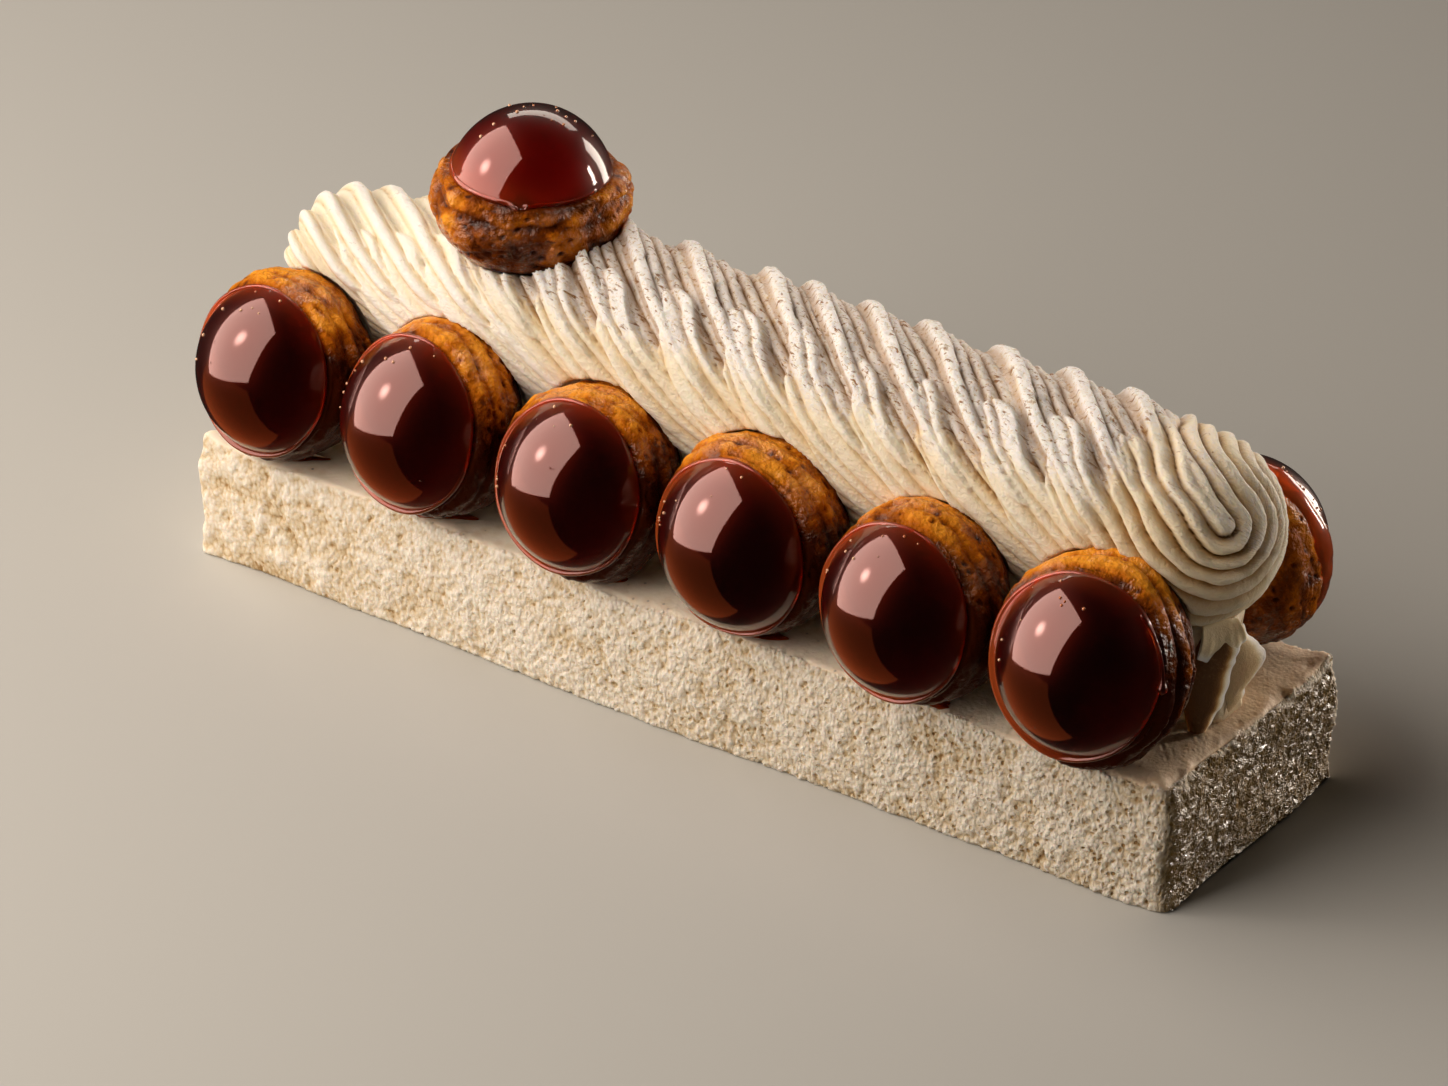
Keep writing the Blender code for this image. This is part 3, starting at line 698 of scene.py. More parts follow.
def make_slab(material):
    """Open crumb on the walls: grains strewn 1.25 mm apart with pits of two sizes between them.

    The damp right end is finer grained, and bites are missing from its upper edge.
    """
    skin, out = slab_rings()
    top = smooth_step((out[..., 2] + 0.25 * smooth_noise(skin, 2.2, 11) - 0.55) / 0.3)
    ragged = 1.6 * smooth_noise(skin, 3.2, 15)
    from_edge = np.minimum(SLAB_HEIGHT - skin[..., 2], 1.4 * (SLAB_HALF[1] - skin[..., 1])) + ragged
    wet = smooth_step((skin[..., 0] - SLAB_HALF[0] + 2.5) / 2) * smooth_step(from_edge / 2.4)
    stretched = skin * np.stack([1 + 0.25 * wet, 1 + 0.25 * wet, 0.82 - 0.05 * wet], axis=-1)
    stretched = stretched + 0.5 * smooth_noise(skin, 3.0, 13)[..., None]
    grains = 0.9 - cell_noise(stretched, 1.25, 21)
    large = smooth_step(1 - cell_noise(stretched, 3.6, 31) / 0.24)
    small = smooth_step(1 - cell_noise(stretched, 1.3, 41) / 0.45)
    coarse = (1 + 0.25 * skin[..., 0] / SLAB_HALF[0]) * (1 - 0.4 * wet)
    left = smooth_step((-skin[..., 0] - 40) / 75)
    fine = 0.5 * grains - 0.6 * large - 0.55 * small + 0.24 * smooth_noise(stretched, 0.8, 61)
    crumb = (0.28 * rough_noise(stretched, 5.0, 51) + fine * (1 - 0.45 * left)) * coarse
    crumb += left * (0.40 * smooth_noise(stretched, 2.1, 63) - 0.16)
    pores = smooth_step(1 - cell_noise(skin, 2.6, 71) / 0.3)
    crust = 0.12 * rough_noise(skin, 5.0, 81) - 0.25 * pores
    off_edge = ((SLAB_HALF[0] - skin[..., 0]) / 2.2) ** 2 + ((SLAB_HEIGHT - skin[..., 2]) / 2.2) ** 2
    upper_edge = np.exp(-off_edge)
    bites = upper_edge * smooth_step((smooth_noise(skin, 4.0, 91) + 0.15) / 0.5)
    relief = (1 - top) * crumb + top * crust - 1.3 * bites
    # How far the crumb lies below its surface, which the material paints darker: painted shade.
    pit = np.clip((0.28 - crumb) / 1.1, 0, 1)
    stain = np.zeros(skin.shape[:2])
    for x, y, half_length, turn in CARAMEL_POOLS:
        along, across = turned(skin[..., 0] - x, skin[..., 1] - y, -turn)
        spread = (along / (0.8 * half_length)) ** 2 + (across / STAIN_HALF_WIDTH) ** 2
        stain = np.maximum(stain, np.exp(-spread))
    points = skin + slab_swell(skin) + out * relief[..., None]
    points[..., 2] = np.maximum(points[..., 2], 0.0)
    points[0, :, 2] = 0.0
    make_rings("sponge_crumb", points, material, ("sponge_slab",),
               {"pit": pit, "skin": top, "wet": wet, "stain": 0.75 * stain,
                "openness": 0.65 + 0.35 * skin[..., 0] / SLAB_HALF[0]}, ladder=SLAB_COLUMNS[0])


# Buns and their caramel caps

def lying_frame(x, y, tilt, turn, size):
    """Frame and size of a bun that lies on the slab, its own +Z out of its caramel."""
    reach = math.hypot(BUN_RADIUS * BUN_HEIGHT_FACTOR * math.cos(math.radians(tilt)),
                       BUN_BACK_DEPTH * math.sin(math.radians(tilt)))
    height = SLAB_HEIGHT + GAP + reach * size - BUN_SINK
    spin = Matrix.Rotation(math.radians(turn), 4, "Z") @ Matrix.Rotation(math.radians(90 - tilt), 4, "X")
    return np.array(Matrix.Translation((x, y, height)) @ spin), np.full(3, size)


def top_frame():
    lean_x, lean_y = (math.radians(angle) for angle in TOP_BUN_LEAN)
    lean = Matrix.Rotation(lean_x, 4, "X") @ Matrix.Rotation(lean_y, 4, "Y")
    return (np.array(Matrix.Translation(TOP_BUN) @ lean),
            np.array([TOP_BUN_WIDTH, TOP_BUN_WIDTH, TOP_BUN_SQUAT]))


def oval(radius, bearing, height):
    """Points of a bun in its own frame: x = w r cos b and y = h r sin b by its width and height factors."""
    return np.stack([radius * np.cos(bearing) * BUN_WIDTH_FACTOR,
                     radius * np.sin(bearing) * BUN_HEIGHT_FACTOR, height + 0 * bearing], axis=-1)


def to_world(frame_matrix, points):
    return points @ frame_matrix[:3, :3].T + frame_matrix[:3, 3]


def to_local(frame_matrix, points):
    return (points - frame_matrix[:3, 3]) @ frame_matrix[:3, :3]


def bun_rings(seed, folds, plated):
    """Half an ellipse behind the widest ring, part of a longer one in front, then a flat face.

    Slow waves, ring folds near the face, creased plates, blisters and cracks push the skin
    in and out. The folds are rounded on top with a sharp valley between two.
    """
    face_angle = math.asin(BUN_FACE / BUN_FRONT_DEPTH)
    angle = np.linspace(-0.495 * math.pi, face_angle, BUN_ROWS)
    face = BUN_RADIUS * math.cos(face_angle) * np.array([0.9, 0.5, 0.02])
    radius = np.concatenate([BUN_RADIUS * np.cos(angle), face])
    depth = np.where(angle < 0, BUN_BACK_DEPTH, BUN_FRONT_DEPTH) * np.sin(angle)
    depth = np.concatenate([depth, np.full(3, BUN_FACE)])
    bearing = np.arange(BUN_COLUMNS) * 2 * math.pi / BUN_COLUMNS
    radius, depth = radius[:, None], depth[:, None]
    lump = sum(share * np.sin(count * bearing + 2 * math.pi * MM * per_z * depth + phase * seed)
               for count, per_z, share, phase in BUN_WAVES)
    skin = np.stack([radius * np.cos(bearing), radius * np.sin(bearing), depth + 0 * bearing], axis=-1)
    drift = 1.6 * smooth_noise(skin, 11.0, int(seed) + 5)
    valley = np.abs(np.sin(math.pi * (depth + drift) / FOLD_PITCH)) ** 0.7
    fold = folds * (2 * valley - 1) * smooth_step(0.5 + depth / FOLD_REACH)
    shifted = skin + np.array([0.0, 0.0, 40.0 * seed])
    warped = shifted + 1.5 * smooth_noise(shifted, 6.0, 77)[..., None]
    level, gap = plate_noise(warped, 10.0, 67)
    plates = (level - 0.5) * smooth_step(gap / 0.10) - 0.4 * (1 - smooth_step(gap / 0.14))
    blisters = smooth_step(1 - cell_noise(shifted, 5.0, 7) / 0.55)
    cracks = 1 - np.minimum(np.abs(smooth_noise(shifted, 6.5, 17)) / 0.09, 1)
    pits = smooth_step(1 - cell_noise(shifted, 2.4, 27) / 0.32)
    relief = (plated * plates + 0.24 * blisters - 0.7 * pits + 0.30 * rough_noise(shifted, 3.0, 47)
              - 0.5 * cracks * smooth_step(smooth_noise(shifted, 14.0, 37) + 0.3))
    on_face = depth > BUN_FACE - 0.05
    grown = 1 + np.where(on_face, 0.0, BUN_LUMPS * lump + FOLD_DEPTH * fold + relief) / BUN_RADIUS
    # Browning with painted shade: the shell is painted darker in pits and fold valleys, and lighter on
    # blisters, fold tops and raised plates.
    toast = (0.13 * rough_noise(shifted, 6.0, 57) + 0.18 * smooth_step(depth / BUN_FACE) + 0.10 * cracks
             - 0.14 * blisters + 0.6 * pits - 0.20 * fold - 0.28 * plated * plates)
    return np.stack([skin[..., 0] * grown * BUN_WIDTH_FACTOR, skin[..., 1] * grown * BUN_HEIGHT_FACTOR,
                     skin[..., 2]], axis=-1), toast


def make_bun(label, frame_matrix, size, seed, folds, material, floor, sides=NO_SIDES, plated=0.5,
             painted_shade=1.0):
    """Bun squashed flat on what it rests on and where it meets its neighbours, its foot soaked.

    Its colour is also painted darker from its top down its sides, by each point's height: painted shade.
    """
    skin, toast = bun_rings(seed, folds, plated)
    world = to_world(frame_matrix, skin * size)
    world[..., 2] = np.maximum(world[..., 2], floor)
    world[..., 0] = np.clip(world[..., 0], *sides)
    soaked = smooth_step((floor + SOAKED_HEIGHT - world[..., 2]) / SOAKED_HEIGHT)
    low, high = world[..., 2].min(), world[..., 2].max()
    rise = (world[..., 2] - low) / (high - low)
    # Painted shade: darker from the top of the bun down its sides; the soaked foot is darker with caramel.
    toast = toast + painted_shade * (0.68 - 0.88 * smooth_step((rise - 0.42) / 0.56)) + 0.25 * soaked
    make_rings(f"choux_shell_{label}", world, material, (f"choux_{label}",), {"toast": toast})


def cap_profile(reach, crown):
    """Radius and height of the cap for each bearing: flat back, collar's nose, groove, dome.

    The nose is a half circle whose radius grows with the reach; the dome is part of a sphere.
    """
    nose_turn = np.linspace(-0.42 * math.pi, 0.40 * math.pi, 12)
    nose = 0.55 + 0.45 * reach
    sphere = (DOME_RADIUS ** 2 + crown ** 2) / (2 * crown)
    start = math.asin(min(DOME_RADIUS / sphere, 1.0))
    dome_turn = start * (1 - np.linspace(0, 1, 46) ** 0.9)
    dome_turn[-1] = 0.004
    back = np.array([0.02, 0.5, 0.93])
    radius = [DOME_RADIUS * back[:, None] + 0 * reach]
    height = [np.full((3, 1), GAP) + 0 * reach]
    centre = COLLAR_RADIUS - nose + COLLAR_REACH * reach
    radius.append(centre + nose * np.cos(nose_turn)[:, None])
    height.append(GAP + 0.55 - 0.75 * reach + nose * np.sin(nose_turn)[:, None])
    radius.append(DOME_RADIUS + 0.15 + 0.3 * reach)
    height.append(GAP + COLLAR_GROOVE - 0.15 * reach)
    radius.append(sphere * np.sin(dome_turn)[:, None] + 0 * reach)
    height.append(GAP + 0.9 + sphere * np.cos(dome_turn)[:, None] - (sphere - crown) + 0 * reach)
    return np.vstack(radius), np.vstack(height), len(dome_turn)


def make_cap(label, frame_matrix, size, face, seed, crown, material, drip=NO_DRIP, collar=1.0):
    """Caramel cap in front of a bun's face, its collar widest towards the lower left.

    A drip is a bearing, a width, and how far the collar runs outwards and down there.
    """
    bearing = np.arange(CAP_COLUMNS) * 2 * math.pi / CAP_COLUMNS
    reach = collar * (0.5 + 0.5 * np.cos(bearing - COLLAR_WIDEST))[None, :]
    wobble = 0.12 * np.sin(3 * bearing + seed) + 0.08 * np.sin(7 * bearing + 2.3 * seed)
    radius, height, dome_rows = cap_profile(reach, crown)
    bearing_of_drip, width, outwards, down = drip
    run = np.exp(-((bearing - bearing_of_drip) / width) ** 2)
    radius[3:-dome_rows] += wobble + outwards * run
    height[3:-dome_rows] -= down * run * np.linspace(1, 0.3, len(height) - 3 - dome_rows)[:, None]
    # Thin layer: thinner towards the rim, and raised on the left side where the key light falls, a painted
    # glow.
    thin = smooth_step((radius - 0.80 * DOME_RADIUS) / (0.24 * DOME_RADIUS)) * (0.58 - 0.42 * np.cos(bearing))
    cap = oval(radius, bearing, height)
    cap += 0.05 * smooth_noise(cap + 31.0 * seed, 7.0, 5)[..., None]
    cap[..., :] = cap * size + np.array([0.0, 0.0, face])
    placed_cap = to_world(frame_matrix, cap)
    make_rings(f"caramel_cap_{label}", placed_cap, material, (f"caramel_{label}",),
               {"thin": thin})


def make_bubbles(caps, material):
    """Small bubbles that set half sunk in the caramel, most of them high up near each dome's rim.

    Each is a round grid on the sphere of its dome, at a drawn bearing and share of its radius.
    """
    draw = np.random.default_rng(BUBBLE_SEED)
    polar = np.linspace(0.05, math.pi - 0.05, 7)[:, None]
    azimuth = np.arange(10)[None, :] * 2 * math.pi / 10
    ball = np.stack([np.sin(polar) * np.cos(azimuth), np.sin(polar) * np.sin(azimuth),
                     np.cos(polar) + 0 * azimuth], axis=-1)
    ball_triangles = np.concatenate([ring_triangles(7, 10), fan_triangles(np.arange(10), 70)[:, ::-1],
                                     fan_triangles(np.arange(60, 70), 71)])
    ball = np.vstack([ball.reshape(-1, 3), [(0.0, 0.0, 1.0), (0.0, 0.0, -1.0)]])
    points, triangles = [], []
    for frame_matrix, size, face, crown, count, shares, bearings in caps:
        sphere = (DOME_RADIUS ** 2 + crown ** 2) / (2 * crown)
        for _ in range(count):
            bearing = math.radians(draw.uniform(*bearings))
            out = DOME_RADIUS * draw.uniform(*shares)
            height = GAP + 0.9 + math.sqrt(sphere ** 2 - out ** 2) - (sphere - crown)
            place = oval(out, bearing, height) * size + np.array([0.0, 0.0, face])
            triangles.append(ball_triangles + len(ball) * len(points))
            points.append(to_world(frame_matrix, place + ball * draw.uniform(0.18, 0.38)))
    points = np.concatenate(points)
    make_piece("caramel_bubbles", points, np.concatenate(triangles), material)


def make_run(name, frame_matrix, size, face, material):
    """Thin run of caramel down the right of a dome's foot that ends in a drop.

    Round tube along the dome's rim from one bearing to another, its radius swelling near the end.
    """
    share = np.linspace(0, 1, 60)[:, None]
    bearing = np.radians(RUN_BEARINGS[0] + (RUN_BEARINGS[1] - RUN_BEARINGS[0]) * share)
    turn = full_turn(20)[None, :]
    thick = 0.30 + 0.20 * share + 0.55 * np.exp(-((share - 0.93) / 0.06) ** 2)
    thick = thick * np.sqrt(np.clip((1 - share) / 0.05, 0.02, 1)) * np.sqrt(np.clip(share / 0.05, 0.02, 1))
    radius = DOME_RADIUS - 0.2 + 1.2 * share + thick * np.cos(turn)
    height = GAP + 1.6 - 0.2 * share + thick * np.sin(turn)
    tube = oval(radius, bearing, height) * size + np.array([0.0, 0.0, face])
    make_rings(name, to_world(frame_matrix, tube), material, (), {"thin": np.zeros(1)})


def make_glaze_rim(name, frame_matrix, size, material):
    """Band of glassy caramel round a bun's shoulder, an oval section swept round its axis.

    Radius = R + a cos t, height = h + b sin t, where a and b wave with the bearing.
    """
    bearing, turn = full_turn(150)[:, None], full_turn(28)[None, :]
    wave = 1 + 0.18 * np.sin(3 * bearing + 1.0) + 0.12 * np.sin(7 * bearing)
    radius = RIM_RADIUS + RIM_THICKNESS * wave * np.cos(turn)
    height = RIM_HEIGHT + RIM_HALF_WIDTH * wave * np.sin(turn)
    rim = oval(radius, bearing, height)
    rim += 0.25 * rough_noise(rim, 3.0, 311)[..., None]
    index = np.arange(rim.shape[0] * rim.shape[1]).reshape(rim.shape[:2])
    below, beside = np.roll(index, -1, axis=0), np.roll(index, -1, axis=1)
    corner = np.roll(below, -1, axis=1)
    triangles = np.concatenate([np.stack([index, below, corner], axis=-1).reshape(-1, 3),
                                np.stack([index, corner, beside], axis=-1).reshape(-1, 3)])
    points = to_world(frame_matrix, rim * size).reshape(-1, 3)
    points[:, 2] = np.maximum(points[:, 2], SLAB_HEIGHT + GAP)
    make_piece(name, points, triangles, material, (), {"thin": np.ones(len(points))})


def make_row(side, row, base_turn, pastry, caramel):
    """Six buns in a line, each clear of its neighbours at the plane halfway between them."""
    places = [x for x, *_ in row]
    planes = [NO_SIDES[0], *[(near + far) / 2 for near, far in zip(places, places[1:])], NO_SIDES[1]]
    frames, caps = [], []
    for index, (x, y, tilt, turn, size) in enumerate(row, start=1):
        frame_matrix, grow = lying_frame(x, y, tilt, base_turn + turn, size)
        folds = FOLDS_STRONG if (side, index) == ("front", 6) else FOLDS_FAINT
        sides = (planes[index - 1] + GAP, planes[index] - GAP)
        if (side, index) == HIDDEN_BUN:
            size = size * HIDDEN_BUN_SIZE
            frame_matrix, grow = lying_frame(x, y, tilt, base_turn + turn, size)
        label = f"{side}_{index}"
        make_bun(label, frame_matrix, grow, index + base_turn, folds, pastry, SLAB_HEIGHT + GAP, sides,
                 painted_shade=0.4 if label == "back_6" else 1.0)
        make_cap(label, frame_matrix, size, BUN_FACE * size, index, DOME_HEIGHT, caramel,
                 BACK_NUB if label == "back_6" else NO_DRIP)
        frames.append((frame_matrix, grow))
        strewn = RIM_BUBBLES if label == "back_6" else DOME_BUBBLES
        caps.append((frame_matrix, size, BUN_FACE * size, DOME_HEIGHT, *strewn))
    return frames, caps


# Cream rope

def rope_section(x):
    """Radius and axis height of the rope without its ridges, with rounded ends."""
    thin = smooth_step((ROPE_THIN_START - x) / ROPE_THIN_SPAN)
    right = np.clip((x - (ROPE_RIGHT - ROPE_RIGHT_ROUNDING)) / ROPE_RIGHT_ROUNDING, 0.0, 1.0)
    left = np.clip((ROPE_LEFT + ROPE_LEFT_ROUNDING - x) / ROPE_LEFT_ROUNDING, 0.0, 1.0)
    rounding = np.sqrt(1 - right ** 2) * np.sqrt(1 - left ** 2)
    return (ROPE_RADIUS - ROPE_THINNING * thin) * rounding, ROPE_AXIS_HEIGHT - ROPE_DROOP * thin


def ridge_shift(degrees):
    """Millimetres along X that a ridge has travelled at an angle from the crest."""
    return RIDGE_SHEAR * degrees + RIDGE_SHEAR_GROWTH * degrees ** 2


def lower_edge(head_x, degrees):
    """Left edge of a lower lobe along X: nearly upright under its head, then leaning with the ridges."""
    return head_x + 0.10 * (degrees - 30) + 0.26 * np.maximum(degrees - 60, 0)


def ridge_row(distance):
    """Round ridges with narrow grooves at every whole number: 1 on their tops, 0 in the grooves."""
    within = 2 * (distance - np.floor(distance)) - 1
    return np.sqrt(np.clip(1 - np.abs(within) ** 2.6, 0.0, 1.0))


def edge_row(distance):
    """Strands that each swell slowly, are tallest two thirds of the way, then drop steeply."""
    within = distance - np.floor(distance)
    return round_rise(within / 0.66) ** 0.9 * round_rise((1 - within) / 0.34)


def upper_cream(crest_x):
    """Height share of the upper lobes and their ridges, and how far right of an edge each point is.

    From the left each lobe swells over its flank to a tall ridge, drops at its right edge, and
    goes on as a strip of dusted ridges that falls to the next lobe's foot.
    """
    edges = np.array(UPPER_LOBES)
    number = np.clip(np.searchsorted(edges, crest_x), 0, len(edges) - 1)
    passed = crest_x - edges[np.maximum(number - 1, 0)]
    passed = np.where(number == 0, 12.0, passed)
    flank = (crest_x - edges[number]) / UPPER_FLANK + 1
    on_flank = flank > 0
    slope = 0.74 * round_rise(flank / 0.5) * on_flank
    crest_fade = 1 - 0.3 * smooth_step((flank - 0.85) / 0.15)
    crest = 0.26 * round_rise((flank - 0.34) / 0.42) * crest_fade * on_flank
    strip = 0.70 - 0.38 * smooth_step(passed / 10.5)
    fading = 1 - smooth_step(flank / 0.35)
    level = np.maximum(slope + crest, strip * fading)
    beside = np.where(flank > 0.1, np.clip(0.6 + 3 * crest, 0.6, 1.0), ridge_row(passed / RIDGE_PITCH))
    return level, beside, passed


def lower_cream(x, degrees, crest_x):
    """Height of the lower lobes above the strips, their ridges, and a mask of where they are.

    Each lobe lies between its left edge and a right edge that follows the ridges. It starts in a
    round head, is tallest at the right edge there, and further down falls to the right instead.
    """
    level = np.zeros_like(x)
    ridge = np.full_like(x, 0.5)
    low = smooth_step((degrees - 52) / 26)
    for head_x, edge, head in LOWER_LOBES:
        from_left = x - lower_edge(head_x, degrees) + 1.4 * (1 - smooth_step((degrees - head) / 14))
        edge_shift = (1.8 + 3.0 * (1 - smooth_step((degrees - head) / 26))
                      + 0.8 * smooth_step((degrees - 62) / 14))
        from_right = edge + edge_shift - crest_x
        width = np.maximum(from_left + from_right, 0.1)
        share = np.clip(from_left / width, 0.0, 1.0)
        tilt = (0.80 + 0.20 * share) * (1 - low) + (1.0 - 0.42 * share) * low
        round_head = np.sqrt(np.clip(1 - (2 * share - 1) ** 2, 0.0, 1.0))
        head_rise = round_rise(((degrees - head) * 0.35 + 2.3 * round_head) / 2.6)
        edges = round_rise((from_left + 0.2) / 1.7) * round_rise((from_right + 0.1) / 0.7)
        body = edges * tilt * head_rise * (from_left > -0.2) * (from_right > -0.1)
        pitch = 4.2 + 0.8 * (1 - smooth_step((degrees - head) / 11)) + 1.3 * smooth_step((degrees - 50) / 30)
        taller = body > level
        uneven = from_right + 0.75 * np.sin(0.66 * from_right + head)
        ridge = np.where(taller, ridge_row(uneven / pitch), ridge)
        level = np.where(taller, body, level)
    return level, ridge


def left_loops(crest_x):
    """Round humps with sharp grooves for the closer loops at the left end."""
    across = (crest_x - LEFT_LOOPS_START) / LEFT_LOOP_PITCH
    across = 2 * (across - np.round(across))
    return np.sqrt(np.clip(1 - (np.abs(across) / 0.85) ** 2.2, 0.0, 1.0))


def swirl_distance(points):
    """Distance from each point to the ridge line that the swirl folds round.

    The line runs along a ridge over the crest and stops at the swirl's eye, so equal distances
    are nested Us that open to the upper left. The distances to its front and to the part behind
    are blended, which rounds the strands over the rope's end.
    """
    degrees = np.linspace(SWIRL_TURN, -150.0, 90)
    x = SWIRL_RIDGE + ridge_shift(degrees)
    radius, height = rope_section(x)
    radius = radius + 0.6 * CREAM_DEPTH
    angle = np.radians(degrees)
    line = np.stack([x, -radius * np.sin(angle), height + radius * np.cos(angle)], axis=-1)
    nearest = np.full((2, *points.shape[:-1]), 999.0)
    for start, end, degree in zip(line[:-1], line[1:], degrees):
        step = end - start
        share = np.clip((points - start) @ step / (step @ step), 0.0, 1.0)
        distance = np.linalg.norm(points - start - share[..., None] * step, axis=-1)
        behind = int(degree < SWIRL_BEHIND)
        nearest[behind] = np.minimum(nearest[behind], distance)
    return -np.log(np.exp(-SWIRL_BLEND * nearest).sum(axis=0)) / SWIRL_BLEND


def rope_relief(x, degrees, out_x, y, z):
    """Height of the cream over the plain rope, a groove layer of painted shade, and where it is what.

    The lower lobes lie over the upper ones; loops take over at the left end, the swirl at the right.
    """
    place = np.stack([out_x, y, z], axis=-1)
    wander = 0.45 * smooth_noise(place, 11.0, 103) + 0.2 * smooth_noise(place, 4.5, 107)
    crest_x = x - ridge_shift(degrees) + wander
    upper, upper_ridge, passed = upper_cream(crest_x)
    loops = smooth_step((LEFT_LOOPS_START + 3 - crest_x) / 6)
    hump = left_loops(crest_x)
    loop_ridge = ridge_row((crest_x - LEFT_LOOPS_START) / (LEFT_LOOP_PITCH / 2) + 0.5)
    upper = upper * (1 - loops) + LEFT_LOOP_HEIGHT / CREAM_DEPTH * hump * loops
    upper_ridge = upper_ridge * (1 - loops) + loop_ridge * loops
    upper = upper * smooth_step((95.0 - degrees) / 30) + 0.1 * smooth_step((degrees - 65.0) / 30)
    lower, lower_ridge = lower_cream(x, degrees, crest_x)
    lower = lower * (1 - 0.3 * loops) * (1.12 - 0.12 * smooth_step((degrees - 45) / 25))
    on_lower = lower > upper
    lobes = np.maximum(upper, lower)
    ridge = np.where(on_lower, lower_ridge, upper_ridge)
    strip_depth = 1.9 * (1 - 0.4 * loops)
    depth = np.where(on_lower, 1.35 - 0.20 * smooth_step((degrees - 48) / 30), strip_depth)
    relief = CREAM_DEPTH * lobes + depth * (ridge - 0.6)

    swirl = smooth_step((x - SWIRL_START) / SWIRL_SPAN)
    region = swirl > 0
    spot = place[region]
    warp = SWIRL_WARP * (smooth_noise(spot, 10.0, 211) + 0.3 * smooth_noise(spot, 4.0, 213))
    turns = np.full_like(x, 0.5)
    turns[region] = (swirl_distance(spot) + warp) / SWIRL_PITCH
    swirl_ridge = edge_row(turns + 0.5)
    swirl_groove = 1 - smooth_step((turns + 0.5 - np.floor(turns + 0.5)) / 0.5)
    swirl_relief = 1.3 + 3.1 * (swirl_ridge - 0.6) + 0.10 * rough_noise(place, 1.8, 217)
    relief = relief * (1 - swirl) + swirl * swirl_relief
    ridge = ridge * (1 - swirl) + swirl_ridge * swirl
    depth_share = (1 - lobes) * (1 - swirl)
    strength = np.where(on_lower, 0.80 - 0.36 * smooth_step((degrees - 46) / 24), 1.1) * (1 - swirl)
    # Painted shade: the groove layer paints the cream darker between ridges, between lobes, over the swirl
    # and in its grooves, and on the rope's lower side.
    groove = (strength * (1 - ridge) * (1 - 0.5 * loops) + 0.42 * depth_share * (1 - 0.6 * loops)
              + swirl * (0.16 + 0.58 * (1 - swirl_ridge) + 0.15 * swirl_groove)
              + LOWER_SIDE_SHADE * smooth_step((degrees - 35) / 30) * (1 - loops))
    groove = np.clip(groove, 0, 1.4)
    strip = np.where(on_lower, 0.0, 1.0) * (passed < 9.5) * (1 - swirl) * (1 - loops)
    return relief, ridge, groove, strip, swirl, loops


def rope_angles():
    """Degrees from the crest, closest together on the front and top that face the light."""
    fine = np.linspace(-40.0, 128.0, 124, endpoint=False)
    coarse = np.linspace(128.0, 180.0, 16, endpoint=False)
    rear = np.linspace(-180.0, -40.0, 64, endpoint=False)
    return np.concatenate([rear, fine, coarse])


def rope_stations():
    """Places along the rope: even in the middle, and by equal turns round each rounded end."""
    left = ROPE_LEFT + ROPE_LEFT_ROUNDING
    right = ROPE_RIGHT - ROPE_RIGHT_ROUNDING
    turns = np.linspace(0.01, 0.5, 46, endpoint=False) * math.pi
    return np.concatenate([left - ROPE_LEFT_ROUNDING * np.cos(turns), np.linspace(left, right, 380),
                           right + ROPE_RIGHT_ROUNDING * np.cos(turns[::-1])])


def press_out(points, axis_points, buns):
    """Move every point that lies inside a bun back towards the rope's axis until it is clear.

    The share of the way kept is halved towards the bun's skin twelve times.
    """
    for frame_matrix, size in buns:
        half = np.array([BUN_RADIUS * BUN_WIDTH_FACTOR, BUN_RADIUS * BUN_HEIGHT_FACTOR, 1.0]) * size + 0.45

        def inside(tested):
            local = to_local(frame_matrix, tested)
            deep = np.where(local[..., 2] < 0, BUN_BACK_DEPTH, BUN_FRONT_DEPTH) * size[2] + 0.45
            return ((local[..., :2] / half[:2]) ** 2).sum(axis=-1) + (local[..., 2] / deep) ** 2 < 1.0

        hit = inside(points)
        if not hit.any():
            continue
        start, end = axis_points[hit], points[hit]
        low, high = np.zeros(len(start)), np.ones(len(start))
        for _ in range(12):
            middle = (low + high) / 2
            bad = inside(start + (end - start) * middle[:, None])
            high = np.where(bad, middle, high)
            low = np.where(bad, low, middle)
        points[hit] = start + (end - start) * low[:, None]
    return points


